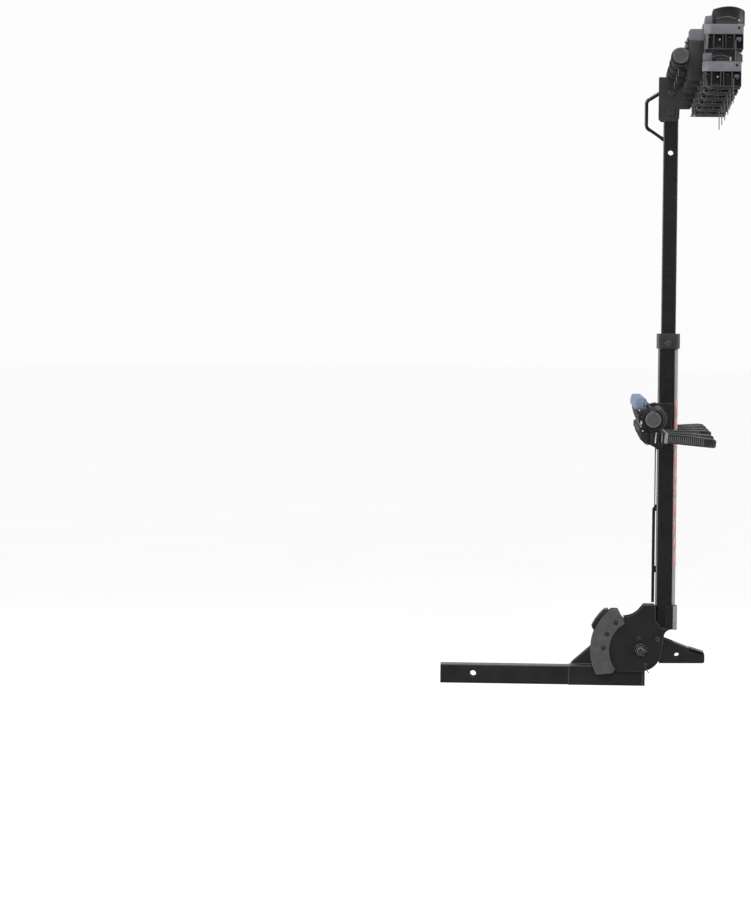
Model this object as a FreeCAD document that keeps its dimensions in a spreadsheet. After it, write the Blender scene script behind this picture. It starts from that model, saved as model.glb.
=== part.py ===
import FreeCAD, Part
import Sketcher
import math
import os

# Hitch-mounted rack that carries six bikes upright behind a vehicle.
# Frame: origin at the middle of the hitch-pin bore, +X rearward (away from the vehicle),
# +Y to the vehicle's right, +Z up. Millimetres. The mast stands at its upright stop.

V = FreeCAD.Vector
Rotation = FreeCAD.Rotation
Placement = FreeCAD.Placement

SIZES = {
    # hitch end
    "hitch_side": 50.8, "hitch_wall": 6.35, "hitch_tip_x": -85, "hitch_length": 335,
    "hitch_corner": 5, "pin_bore": 8.25,
    "box_x": 250, "box_length": 192, "box_width": 54, "box_height": 52, "box_wall": 5,
    "box_corner": 4, "cap_thick": 6, "cap_plug": 14,
    # tilt pivot and its plates; plate gaps are measured from the centre plane
    "pivot_x": 436, "pivot_z": 67, "pivot_shank": 8, "pivot_hole": 8.06, "bush_radius": 15,
    "index_inner": 27, "index_thick": 6, "index_disc": 34, "index_rim": 125, "index_step": 22,
    "notch_radius": 3.5,
    "bridge_low": 106, "bridge_high": 143,
    "cover_inner": 33, "cover_thick": 11, "cover_low": 82, "cover_high": 131,
    "screw_ring": 97, "screw_first": 132, "screw_step": 22.2, "screw_shank": 3, "screw_head": 5.2,
    "counterbore": 6.4, "screw_seat": 5,
    "tilt_inner": 33.5, "tilt_thick": 6, "tilt_disc": 54, "tilt_rim": 81.5,
    "washer_radius": 17.5, "washer_thick": 2.5, "nut_radius": 15, "nut_height": 11,
    # foot pedal; its pin is placed from the tilt pivot
    "pedal_pin_x": 44, "pedal_pin_z": 30, "pedal_pin": 5, "pedal_hole": 5.06,
    "pedal_half": 32.6, "pedal_cheek": 5, "pedal_eye": 6.5, "tread_teeth": 6,
    # masts
    "mast_x": 498.4, "mast_side": 50.8, "mast_inner": 38.9, "mast_corner": 8,
    "mast_foot": 128, "mast_length": 725,
    "socket_half": 33.5, "socket_rear_half": 31, "socket_top": 184,
    "collar_z": 853, "collar_height": 39, "collar_side": 60, "collar_corner": 12,
    "collar_bolt_z": 866, "collar_bolt_head": 9, "collar_bolt_shank": 5, "bolt_gap": 0.45,
    "inner_side": 38.1, "inner_wall": 3, "inner_corner": 4, "inner_foot": 645, "inner_length": 895,
    "stow_hole_z": 1362, "stow_hole": 7,
    # crossbars
    "bar_radius": 19.05, "bar_wall": 3, "bar_half": 640, "bar_cap_radius": 20.5, "bar_cap_thick": 5,
    "low_bar_x": 453, "low_bar_z": 677, "top_bar_x": 509, "top_bar_z": 1568,
    "sleeve_radius": 23.4, "sleeve_half": 70,
    "bar_plug": 22, "bracket_thick": 5.5, "bracket_half_height": 34, "rail_width": 24,
    "head_thick": 6, "head_bolt": 5, "head_bolt_x": 497, "head_bolt_high": 1515,
    "head_bolt_low": 1466, "head_bolt_hex": 9, "handle_bar": 5,
    # stations along the bars
    "stations": 6, "station_gap": 230,
    # crown cradles, measured from the upper bar's axis
    "spine_half": 26, "tray_half": 52, "tray_slot": 28, "tray_height": 58, "tray_low_z": -71,
    "tray_high_z": 20, "tray_shift": 4, "window_depth": 14, "lever_pocket": 18,
    "anchor_half": 34, "anchor_height": 22, "strap_thick": 4, "tail_thick": 2.8,
    "lever_pin_x": 136.5, "lever_pin_z": 44.5, "lever_pin": 1.5, "lever_pin_hole": 1.6,
    "cradle_lever_width": 15.5, "tail_width": 16.5, "buckle_inner": 35,
    "saddle_half": 16, "saddle_inner": 19.3, "saddle_thick": 3.6,
    "clamp_knob_radius": 12.5, "clamp_knob_length": 22, "clamp_nut_radius": 6,
    "clamp_nut_length": 5,
    # wheel holders, measured from the lower bar's axis
    "ring_radius": 33, "ring_half": 22, "holder_half": 18, "holder_bore": 19.15,
    "ear_gap": 14.5, "wheel_lever_half": 14, "wheel_pin_x": -15, "wheel_pin_z": 33,
    "wheel_pin": 2.5, "wheel_pin_hole": 2.56, "yoke_half": 38, "knob_radius": 14,
    "knob_length": 12.5, "knob_bolt": 4, "knob_bolt_length": 12, "knob_hole": 4.1,
    "loop_half": 38, "loop_height": 25, "loop_length": 118, "loop_droop": 5.5, "band_width": 24,
}

doc = FreeCAD.newDocument("HitchBikeRack")
sheet = doc.addObject("Spreadsheet::Sheet", "Sizes")
for row, (alias, value) in enumerate(SIZES.items(), start=1):
    sheet.set(f"A{row}", alias)
    sheet.set(f"B{row}", str(value))
    sheet.setAlias(f"B{row}", alias)
doc.recompute()

nodes = {}
cuts = []


def size(alias):
    return float(sheet.get(alias))


def cell(alias):
    return f"Sizes.{alias}"


def keep(label, part):
    """Register a finished sub-part; its label is its file name."""
    part.Label = label
    nodes[label] = part
    return part


def polar(radius, degrees):
    angle = math.radians(degrees)
    return radius * math.cos(angle), radius * math.sin(angle)


def new_body(label, x="0", y="0", z="0"):
    body = doc.addObject("PartDesign::Body", label)
    for axis, place in (("x", x), ("y", y), ("z", z)):
        body.setExpression(f"Placement.Base.{axis}", place)
    return body


def new_sketch(body, name, plane, offset="0"):
    """A sketch on one of the body's own origin planes, moved along the plane's normal."""
    sketch = body.newObject("Sketcher::SketchObject", name)
    support = next(item for item in body.Origin.OriginFeatures if item.Role == plane)
    sketch.AttachmentSupport = [(support, "")]
    sketch.MapMode = "FlatFace"
    sketch.setExpression("AttachmentOffset.Base.z", offset)
    return sketch


def rectangle(sketch, width, height):
    """A rectangle about the sketch's origin, its two sides bound to the sheet."""
    corners = [V(-1, -1, 0), V(1, -1, 0), V(1, 1, 0), V(-1, 1, 0)]
    for index, corner in enumerate(corners):
        sketch.addGeometry(Part.LineSegment(corner, corners[(index + 1) % 4]))
    for index in range(4):
        sketch.addConstraint(Sketcher.Constraint("Coincident", index, 2, (index + 1) % 4, 1))
    for index, kind in enumerate(("Horizontal", "Vertical", "Horizontal", "Vertical")):
        sketch.addConstraint(Sketcher.Constraint(kind, index))
    sketch.addConstraint(Sketcher.Constraint("Symmetric", 0, 1, 2, 1, -1, 1))
    for index, (name, length) in enumerate((("width", width), ("height", height))):
        made = sketch.addConstraint(Sketcher.Constraint("Distance", index, 2.0))
        sketch.renameConstraint(made, name)
        sketch.setExpression(f"Constraints.{name}", length)


def circle(sketch, radius, x=0, z=0):
    """A circle whose radius is bound to the sheet."""
    made = sketch.addGeometry(Part.Circle(V(x, z, 0), V(0, 0, 1), 1.0))
    sketch.addConstraint(Sketcher.Constraint("DistanceX", -1, 1, made, 3, x))
    sketch.addConstraint(Sketcher.Constraint("DistanceY", -1, 1, made, 3, z))
    bound = sketch.addConstraint(Sketcher.Constraint("Radius", made, 1.0))
    sketch.renameConstraint(bound, f"radius{made}")
    sketch.setExpression(f"Constraints.radius{made}", radius)


def outline(sketch, steps, closed=True):
    """Lines and arcs through steps: a pair is a corner, a pair of pairs an arc's middle and end."""
    here = steps[0]
    first = sketch.GeometryCount
    for step in steps[1:] + ([steps[0]] if closed else []):
        if isinstance(step[0], tuple):
            middle, end = step
            sketch.addGeometry(Part.Arc(V(*here, 0), V(*middle, 0), V(*end, 0)))
            here = end
        elif math.dist(here, step) > 1e-6:
            sketch.addGeometry(Part.LineSegment(V(*here, 0), V(*step, 0)))
            here = step
    count = sketch.GeometryCount - first
    for index in range(count if closed else count - 1):
        join(sketch, first + index, first + (index + 1) % count)


def join(sketch, one, other):
    """Tie the ends of two neighbouring edges where they meet."""
    for end in (1, 2):
        for start in (1, 2):
            gap = sketch.getPoint(one, end).distanceToPoint(sketch.getPoint(other, start))
            if gap < 1e-5:
                sketch.addConstraint(Sketcher.Constraint("Coincident", one, end, other, start))
                return


def pad(body, sketch, length, middle=False):
    feature = body.newObject("PartDesign::Pad", "Pad")
    feature.Profile = sketch
    feature.setExpression("Length", length)
    feature.SideType = "Symmetric" if middle else "One side"
    return feature


def pocket(body, sketch, length=None, middle=False, flip=False):
    """Cut along a sketch: through everything where no length is given."""
    before = body.Tip
    feature = body.newObject("PartDesign::Pocket", "Pocket")
    feature.Profile = sketch
    feature.Reversed = flip
    if length is None:
        feature.Type = "ThroughAll"
        feature.SideType = "Symmetric"
    else:
        feature.setExpression("Length", length)
        feature.SideType = "Symmetric" if middle else "One side"
    cuts.append((feature, before))
    return feature


def edges_along(shape, direction):
    """Names of the straight edges that run along a direction."""
    names = []
    for number, edge in enumerate(shape.Edges, start=1):
        straight = isinstance(edge.Curve, Part.Line)
        if straight and abs(abs(edge.tangentAt(edge.FirstParameter).dot(direction)) - 1) < 1e-6:
            names.append(f"Edge{number}")
    return names


def fillet_along(body, direction, radius):
    doc.recompute()
    base = body.Tip
    feature = body.newObject("PartDesign::Fillet", "Fillet")
    feature.Base = (base, edges_along(base.Shape, direction))
    feature.setExpression("Radius", radius)
    return feature


def rect_tube(label, plane, direction, across, up, inner_across, inner_up, length, corner, place):
    """A rectangular tube with rounded outer corners, standing on one origin plane."""
    body = new_body(label, *place)
    outer = new_sketch(body, "OuterSection", plane)
    rectangle(outer, across, up)
    pad(body, outer, length)
    fillet_along(body, direction, corner)
    inner = new_sketch(body, "InnerSection", plane)
    rectangle(inner, inner_across, inner_up)
    pocket(body, inner)
    return body


def cylinder(name, radius, height, start, direction):
    """A solid round along a direction, from the point start."""
    part = doc.addObject("Part::Cylinder", name)
    part.setExpression("Radius", radius)
    part.setExpression("Height", height)
    part.Placement = Placement(V(*start), Rotation(V(0, 0, 1), V(*direction)))
    return part


def hexagon(name, radius, height, start, direction):
    part = doc.addObject("Part::Prism", name)
    part.Polygon = 6
    part.setExpression("Circumradius", radius)
    part.setExpression("Height", height)
    part.Placement = Placement(V(*start), Rotation(V(0, 0, 1), V(*direction)))
    return part


def joined(name, members):
    part = doc.addObject("Part::MultiFuse", name)
    part.Shapes = members
    return part


def bored(name, solid, tool):
    part = doc.addObject("Part::Cut", name)
    part.Base = solid
    part.Tool = tool
    return part


def group(label, members):
    """Separate solids that share one node."""
    part = doc.addObject("Part::Compound", label)
    part.Links = members
    return keep(label, part)


def mirrored(part):
    """The same piece on the other side of the centre plane."""
    twin = doc.addObject("Part::Mirroring", f"{part.Name}_twin")
    twin.Source = part
    twin.Normal = V(0, 1, 0)
    return twin


def side_plate(name, steps, inner, thick, place, holes=()):
    """A plate on the left side of the centre plane; holes are (radius, x, z)."""
    body = new_body(name, *place)
    profile = new_sketch(body, "Profile", "XZ_Plane", inner)
    outline(profile, steps)
    pad(body, profile, thick)
    if holes:
        bores = new_sketch(body, "Bores", "XZ_Plane", inner)
        for radius, x, z in holes:
            circle(bores, radius, x, z)
        pocket(body, bores)
    return body


PIVOT = (cell("pivot_x"), "0", cell("pivot_z"))
PIVOT_X = size("pivot_x")
PIVOT_Z = size("pivot_z")
STATION_Y = [(index - (size("stations") - 1) / 2) * size("station_gap")
             for index in range(int(size("stations")))]
SCREW_ANGLES = [size("screw_first") + size("screw_step") * index for index in range(3)]
LEFT = (0, -1, 0)
RIGHT = (0, 1, 0)


def hitch_tube():
    side = cell("hitch_side")
    inner = f"{side} - 2 * {cell('hitch_wall')}"
    body = rect_tube("hitch_tube", "YZ_Plane", V(1, 0, 0), side, side, inner, inner,
                     cell("hitch_length"), cell("hitch_corner"), (cell("hitch_tip_x"), "0", "0"))
    bore = new_sketch(body, "PinBore", "XZ_Plane")
    circle(bore, cell("pin_bore"), -size("hitch_tip_x"))
    pocket(body, bore)
    keep("hitch_tube", body)


def base_box():
    wall = f"2 * {cell('box_wall')}"
    keep("base_box", rect_tube(
        "base_box", "YZ_Plane", V(1, 0, 0), cell("box_width"), cell("box_height"),
        f"{cell('box_width')} - {wall}", f"{cell('box_height')} - {wall}",
        cell("box_length"), cell("box_corner"), (cell("box_x"), "0", "0")))


def base_end_cap():
    """A plug for the box's rear end: a rim over the wall and a block inside it."""
    body = new_body("base_end_cap", f"{cell('box_x')} + {cell('box_length')}")
    rim = new_sketch(body, "Rim", "YZ_Plane")
    rectangle(rim, cell("box_width"), cell("box_height"))
    pad(body, rim, cell("cap_thick"))
    fillet_along(body, V(1, 0, 0), cell("box_corner"))
    plug = new_sketch(body, "Plug", "YZ_Plane")
    inside = f"- 2 * {cell('box_wall')} - 0.2"
    rectangle(plug, f"{cell('box_width')} {inside}", f"{cell('box_height')} {inside}")
    pad(body, plug, cell("cap_plug")).Reversed = True
    keep("base_end_cap", body)


def index_plates():
    """Two fixed plates, each a notched disc and a gusset down to the box, and their bridge."""
    disc = size("index_disc")
    rim = size("index_rim")
    low_x = size("box_x") + 4 - PIVOT_X
    low_z = -18 - PIVOT_Z
    steps = [(low_x, low_z), (-40, low_z), polar(disc, -120), (polar(disc, 0), polar(disc, 100)),
             polar(rim, 122), (polar(rim, 148), polar(rim, 174)), (low_x, -38)]
    bores = [(cell("pivot_hole"), 0, 0)]
    bores += [(cell("screw_shank") + " + 0.1", *polar(size("screw_ring"), angle))
              for angle in SCREW_ANGLES]
    plate = side_plate("index_plate_left", steps, cell("index_inner"), cell("index_thick"),
                       PIVOT, bores)
    notches = new_sketch(plate, "Notches", "XZ_Plane", cell("index_inner"))
    for count in range(3):
        circle(notches, cell("notch_radius"), *polar(disc, 40 - count * size("index_step")))
    pocket(plate, notches)
    bridge = new_body("index_bridge", *PIVOT)
    profile = new_sketch(bridge, "Profile", "XZ_Plane")
    low = size("bridge_low")
    high = size("bridge_high")
    outline(profile, [polar(low, 130), polar(high - 5, 129), polar(high, 132),
                      (polar(high, 143), polar(high, 154)), polar(high - 8, 157),
                      polar(low, 156), (polar(low, 143), polar(low, 130))])
    pad(bridge, profile, f"2 * {cell('index_inner')}", middle=True)
    group("index_plates", [plate, mirrored(plate), bridge])


def arc_covers():
    """Curved covers screwed to the outside of the index plates, with counterbored holes."""
    low = size("cover_low")
    high = size("cover_high")
    steps = [polar(low, 121), polar(high - 9, 120), polar(high, 126),
             (polar(high, 167), polar(high, 209)), polar(low + 13, 219), polar(low, 217),
             (polar(low, 169), polar(low, 121))]
    rings = [polar(size("screw_ring"), angle) for angle in SCREW_ANGLES]
    cover = side_plate("arc_cover_left", steps, cell("cover_inner"), cell("cover_thick"), PIVOT,
                       [(cell("screw_shank") + " + 0.1", *spot) for spot in rings])
    seats = new_sketch(cover, "Counterbores", "XZ_Plane",
                       f"{cell('cover_inner')} + {cell('cover_thick')}")
    for spot in rings:
        circle(seats, cell("counterbore"), *spot)
    pocket(cover, seats, f"{cell('screw_seat')} + 1")
    group("arc_covers", [cover, mirrored(cover)])


def cover_screws():
    screws = []
    head_y = size("cover_inner") + size("cover_thick") - size("screw_seat") - 1
    for number, angle in enumerate(SCREW_ANGLES):
        x, z = polar(size("screw_ring"), angle)
        spot = (PIVOT_X + x, -head_y, PIVOT_Z + z)
        head = cylinder(f"screw_head_{number}", cell("screw_head"), cell("screw_seat"), spot, LEFT)
        shank = cylinder(f"screw_shank_{number}", cell("screw_shank"), "10", spot, RIGHT)
        screws.append(joined(f"cover_screw_{number}", [head, shank]))
    group("cover_screws", screws + [mirrored(screw) for screw in screws])


def pivot_bolt():
    """The tilt axle: bolt, nut, two washers and the spacer bush between the index plates."""
    washer_y = size("tilt_inner") + size("tilt_thick") + 0.3
    nut_y = washer_y + size("washer_thick")
    shank = cylinder("pivot_shank", cell("pivot_shank"), f"{2 * nut_y + 18}",
                     (PIVOT_X, nut_y, PIVOT_Z), LEFT)
    head = hexagon("pivot_head", cell("nut_radius"), cell("nut_height"),
                   (PIVOT_X, nut_y, PIVOT_Z), RIGHT)
    nut = hexagon("nut_blank", cell("nut_radius"), cell("nut_height"),
                  (PIVOT_X, -nut_y, PIVOT_Z), LEFT)
    nut_bore = cylinder("nut_bore", cell("pivot_shank"), "80", (PIVOT_X, 0, PIVOT_Z), LEFT)
    washers = []
    for name, y, way in (("washer_left", -washer_y, LEFT), ("washer_right", washer_y, RIGHT)):
        blank = cylinder(f"{name}_blank", cell("washer_radius"), cell("washer_thick"),
                         (PIVOT_X, y, PIVOT_Z), way)
        bore = cylinder(f"{name}_bore", cell("pivot_shank"), "20", (PIVOT_X, y - way[1], PIVOT_Z), way)
        washers.append(bored(name, blank, bore))
    half = size("index_inner")
    bush = bored("pivot_bush",
                 cylinder("bush_blank", cell("bush_radius"), f"{2 * half}",
                          (PIVOT_X, half, PIVOT_Z), LEFT),
                 cylinder("bush_bore", cell("pivot_shank"), f"{2 * half}",
                          (PIVOT_X, half, PIVOT_Z), LEFT))
    group("pivot_bolt", [joined("bolt", [shank, head]), bored("pivot_nut", nut, nut_bore), bush]
          + washers)


def tilt_plates():
    """Two plates that carry the mast foot and turn about the pivot outside the index plates."""
    disc = size("tilt_disc")
    rim = size("tilt_rim")
    bottom_left = (-math.sqrt(rim ** 2 - disc ** 2), -disc)
    steps = [bottom_left, (0, -disc), (polar(disc, -46), polar(disc, -2)), (60, 36),
             ((65.8, 50.2), (79.5, 56)), (54, 58), (38, 81), (38, 113), (33, 119), (6, 119),
             (-3, 108), ((-21, 93), (-46, 87)), polar(rim, 120), (polar(rim, 170), bottom_left)]
    holes = [(cell("pivot_hole"), 0, 0),
             (cell("pedal_pin"), size("pedal_pin_x"), size("pedal_pin_z")),
             (cell("screw_shank"), -5.7, 30.4), (cell("screw_shank"), 12.7, -38)]
    left = side_plate("tilt_plate_left", steps, cell("tilt_inner"), cell("tilt_thick"), PIVOT, holes)
    keep("tilt_plate_left", left)
    keep("tilt_plate_right", mirrored(left))


def foot_pins():
    """The pedal's pin and the two small pins that are riveted through each tilt plate."""
    outer = size("tilt_inner") + size("tilt_thick")
    pedal_pin = cylinder("pedal_pin", cell("pedal_pin"), f"{2 * outer}",
                         (PIVOT_X + size("pedal_pin_x"), outer, PIVOT_Z + size("pedal_pin_z")), LEFT)
    pins = []
    for number, (x, z) in enumerate(((-5.7, 30.4), (12.7, -38))):
        spot = (PIVOT_X + x, -outer, PIVOT_Z + z)
        head = cylinder(f"rivet_head_{number}", cell("screw_head"), "2.6", spot, LEFT)
        shank = cylinder(f"rivet_shank_{number}", cell("screw_shank"), cell("tilt_thick"), spot, RIGHT)
        pins.append(joined(f"plate_rivet_{number}", [head, shank]))
    group("foot_pins", [pedal_pin] + pins + [mirrored(pin) for pin in pins])


def foot_pedal():
    """Two cheeks beside the base box, joined by a ribbed tread; noses face the index notches."""
    pin = (size("pedal_pin_x"), size("pedal_pin_z"))
    body = new_body("foot_pedal", *PIVOT)
    profile = new_sketch(body, "Profile", "XZ_Plane")
    teeth = int(size("tread_teeth"))
    pitch = 36 / teeth
    steps = [(41, 21), (38, 23), (29.5, 21.5), (27.5, 27.5), (40, 37.5), (46, 37.8), (128, 6.5)]
    for tooth in range(teeth):
        x = 128 + pitch * tooth
        z = 6.5 - 10.5 / teeth * tooth
        steps += [(x + 0.4 * pitch, z + 1.2), (x + 0.55 * pitch, z - 2.4), (x + pitch, z - 1.75)]
    steps += [(166, -10), (166, -24), ((164.5, -29), (160, -31)), (48, -32.5)]
    outline(profile, steps)
    pad(body, profile, f"2 * {cell('pedal_half')}", middle=True)
    inside = new_sketch(body, "Inside", "XZ_Plane")
    outline(inside, [(20, -40), (20, 45), (84, 45), (84, 18), (130, 0.5), (150, -6), (159, -12),
                     (159, -40)])
    pocket(body, inside, f"2 * ({cell('pedal_half')} - {cell('pedal_cheek')})", middle=True)
    holes = new_sketch(body, "Holes", "XZ_Plane")
    circle(holes, cell("pedal_hole"), *pin)
    circle(holes, cell("pedal_eye"), 94, -11)
    pocket(body, holes)
    keep("foot_pedal", body)


def mast_socket():
    """The weldment between the tilt plates that holds the mast's foot, with a wrap behind it."""
    body = new_body("mast_socket")
    front = size("mast_x") - size("mast_side") / 2
    top = size("socket_top")
    foot = size("mast_foot")
    block = new_sketch(body, "Block", "XZ_Plane")
    outline(block, [(441, 112), (496, 112), (500, 123), (500, foot), (front, foot), (front, top),
                    (441, top)])
    pad(body, block, f"2 * {cell('socket_half')}", middle=True)
    rear = size("mast_x") + size("mast_side") / 2 + 5.2
    wrap = new_sketch(body, "Wrap", "XZ_Plane")
    outline(wrap, [(499, 123), (rear, 123), (rear, top), (499, top)])
    pad(body, wrap, f"2 * {cell('socket_rear_half')}", middle=True)
    well = new_sketch(body, "Well", "XZ_Plane")
    outline(well, [(front, foot), (rear - 5.2, foot), (rear - 5.2, top + 1), (front, top + 1)])
    pocket(body, well, cell("mast_side"), middle=True)
    doc.recompute()
    base = body.Tip
    corners = [f"Edge{number}" for number, edge in enumerate(base.Shape.Edges, start=1)
               if abs(edge.BoundBox.XMin - rear) < 0.01 and edge.BoundBox.ZLength > 50]
    bevel = body.newObject("PartDesign::Chamfer", "RearBevel")
    bevel.Base = (base, corners)
    bevel.Size = 7
    keep("mast_socket", body)


def masts():
    side = cell("mast_side")
    keep("lower_mast_tube", rect_tube(
        "lower_mast_tube", "XY_Plane", V(0, 0, 1), side, side, cell("mast_inner"),
        cell("mast_inner"), cell("mast_length"), cell("mast_corner"),
        (cell("mast_x"), "0", cell("mast_foot"))))
    inner = f"{cell('inner_side')} - 2 * {cell('inner_wall')}"
    upper = rect_tube("upper_mast_tube", "XY_Plane", V(0, 0, 1), cell("inner_side"),
                      cell("inner_side"), inner, inner, cell("inner_length"),
                      cell("inner_corner"), (cell("mast_x"), "0", cell("inner_foot")))
    holes = new_sketch(upper, "CrossHoles", "XZ_Plane")
    circle(holes, cell("stow_hole"), 0, size("stow_hole_z") - size("inner_foot"))
    for bolt in ("head_bolt_high", "head_bolt_low"):
        circle(holes, cell("head_bolt"), size("head_bolt_x") - size("mast_x"),
               size(bolt) - size("inner_foot"))
    pocket(upper, holes)
    keep("upper_mast_tube", upper)


def mast_collar():
    """The clamp block on the lower mast's top; a locking bolt stops just short of the inner mast."""
    collar = rect_tube("mast_collar", "XY_Plane", V(0, 0, 1), cell("collar_side"),
                       cell("collar_side"), cell("mast_inner"), cell("mast_inner"),
                       cell("collar_height"), cell("collar_corner"),
                       (cell("mast_x"), "0", cell("collar_z")))
    bore = new_sketch(collar, "BoltHole", "XZ_Plane", "0")
    circle(bore, cell("collar_bolt_shank"), 0, size("collar_bolt_z") - size("collar_z"))
    pocket(collar, bore, cell("collar_side"), flip=True)
    keep("mast_collar", collar)
    face = size("collar_side") / 2
    tip = size("inner_side") / 2 + size("bolt_gap")
    spot = (size("mast_x"), -face, size("collar_bolt_z"))
    head = hexagon("collar_bolt_head", cell("collar_bolt_head"), "7", spot, LEFT)
    shank = cylinder("collar_bolt_shank", cell("collar_bolt_shank"), f"{face - tip}", spot, RIGHT)
    keep("collar_bolt", joined("collar_bolt", [head, shank]))


def front_rail():
    """A slim rail down the mast's front face: thin above, a thicker lower half on two lugs."""
    body = new_body("front_rail", cell("mast_x") + " - " + cell("mast_side") + " / 2")
    profile = new_sketch(body, "Profile", "XZ_Plane")
    outline(profile, [(-10.5, 192), (-3, 192), (-3, 270), (0, 270), (0, 286), (-3, 286), (-3, 430),
                      (0, 430), (0, 446), (-3, 446), (-3, 588), (0, 594), (0, 606), (-3, 606),
                      (-5.7, 590), (-5.7, 442), (-10.5, 436)])
    pad(body, profile, cell("rail_width"), middle=True)
    keep("front_rail", body)


def round_bar(label, x, z, sleeve=False):
    """A round crossbar, with a welded centre sleeve on the upper one."""
    body = new_body(label, x, "0", z)
    outer = new_sketch(body, "Outer", "XZ_Plane")
    circle(outer, cell("bar_radius"))
    pad(body, outer, f"2 * {cell('bar_half')}", middle=True)
    if sleeve:
        thick = new_sketch(body, "Sleeve", "XZ_Plane")
        circle(thick, cell("sleeve_radius"))
        pad(body, thick, f"2 * {cell('sleeve_half')}", middle=True)
    inner = new_sketch(body, "Inner", "XZ_Plane")
    circle(inner, f"{cell('bar_radius')} - {cell('bar_wall')}")
    pocket(body, inner)
    keep(label, body)


def bar_end_caps(label, x, z):
    plug_radius = f"{cell('bar_radius')} - {cell('bar_wall')} - 0.1"
    spot = (size(x), -size("bar_half"), size(z))
    disc = cylinder(f"{label}_disc", cell("bar_cap_radius"), cell("bar_cap_thick"), spot, LEFT)
    plug = cylinder(f"{label}_plug", plug_radius, cell("bar_plug"), spot, RIGHT)
    cap = joined(f"{label}_left", [disc, plug])
    group(label, [cap, mirrored(cap)])


def lower_bar_bracket():
    """Plates on both sides of the mast, bored for the lower crossbar."""
    height = size("bracket_half_height")
    back = size("mast_x") - size("low_bar_x") + 12
    steps = [(-8, -height + 6), (4, -height), (back, -height), (back, height), (4, height),
             (-8, height - 6), (polar(27, 180), (-8, -height + 6))]
    plate = side_plate("bracket_left", steps, f"{cell('mast_side')} / 2", cell("bracket_thick"),
                       (cell("low_bar_x"), "0", cell("low_bar_z")), [(cell("bar_radius"), 0, 0)])
    group("lower_bar_bracket", [plate, mirrored(plate)])


def head_plates():
    """Plates bolted to the upper mast, with a saddle for the upper crossbar's sleeve."""
    bar_x = size("top_bar_x")
    bar_z = size("top_bar_z")
    drop = 11
    reach = math.sqrt(size("sleeve_radius") ** 2 - drop ** 2)
    saddle_z = bar_z - drop
    steps = [(466, 1450), (466, saddle_z), (bar_x - reach, saddle_z),
             ((bar_x, bar_z - size("sleeve_radius")), (bar_x + reach, saddle_z)),
             (533, saddle_z - 12), (533, 1500), (521, 1490), (519, 1450), (512, 1443), (473, 1443)]
    holes = [(cell("head_bolt"), size("head_bolt_x"), size("head_bolt_high")),
             (cell("head_bolt"), size("head_bolt_x"), size("head_bolt_low"))]
    plate = side_plate("head_plate_left", steps, f"{cell('inner_side')} / 2", cell("head_thick"),
                       ("0", "0", "0"), holes)
    group("head_plates", [plate, mirrored(plate)])
    outer = size("inner_side") / 2 + size("head_thick")
    bolts = []
    for name in ("head_bolt_high", "head_bolt_low"):
        spot = (size("head_bolt_x"), -outer, size(name))
        far = (size("head_bolt_x"), outer, size(name))
        head = hexagon(f"{name}_head", cell("head_bolt_hex"), "6.5", spot, LEFT)
        nut = hexagon(f"{name}_nut", cell("head_bolt_hex"), "8", far, RIGHT)
        shank = cylinder(f"{name}_shank", cell("head_bolt"), f"{2 * outer}", spot, RIGHT)
        bolts.append(joined(name, [head, shank, nut]))
    group("head_bolts", bolts)


def grab_handle():
    """A bent round bar on the vehicle side of the upper mast, just below the upper crossbar."""
    body = new_body("grab_handle")
    path = new_sketch(body, "Path", "XZ_Plane")
    outline(path, [(475.4, 1521.5), (444, 1501.5), ((436.8, 1496), (434.5, 1487)), (434.5, 1436),
                   ((436.8, 1427), (444, 1421)), (475.4, 1399.5)], closed=False)
    section = body.newObject("Sketcher::SketchObject", "Section")
    doc.recompute()
    section.AttachmentSupport = [(path, "Edge1")]
    section.MapMode = "NormalToEdge"
    circle(section, cell("handle_bar"))
    pipe = body.newObject("PartDesign::AdditivePipe", "Bar")
    pipe.Profile = section
    pipe.Spine = (path, [f"Edge{number}" for number in range(1, path.GeometryCount + 1)])
    keep("grab_handle", body)


def tray_outline(shift):
    """Plan of a tray: two prongs either side of a slot that is open to the rear."""
    half = size("tray_half")
    slot = size("tray_slot")
    return [(56 - shift, -40), (72 - shift, -half), (151 - shift, -half), (151 - shift, -slot),
            (100 - shift, -slot), ((72 - shift, 0), (100 - shift, slot)), (151 - shift, slot),
            (151 - shift, half), (72 - shift, half), (56 - shift, 40)]


def windows(sketch, low, shift, spans):
    for start, end in spans:
        outline(sketch, [(start - shift, low + 3), (end - shift, low + 3), (end - shift, low + 34),
                         (start - shift, low + 34)])


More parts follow.
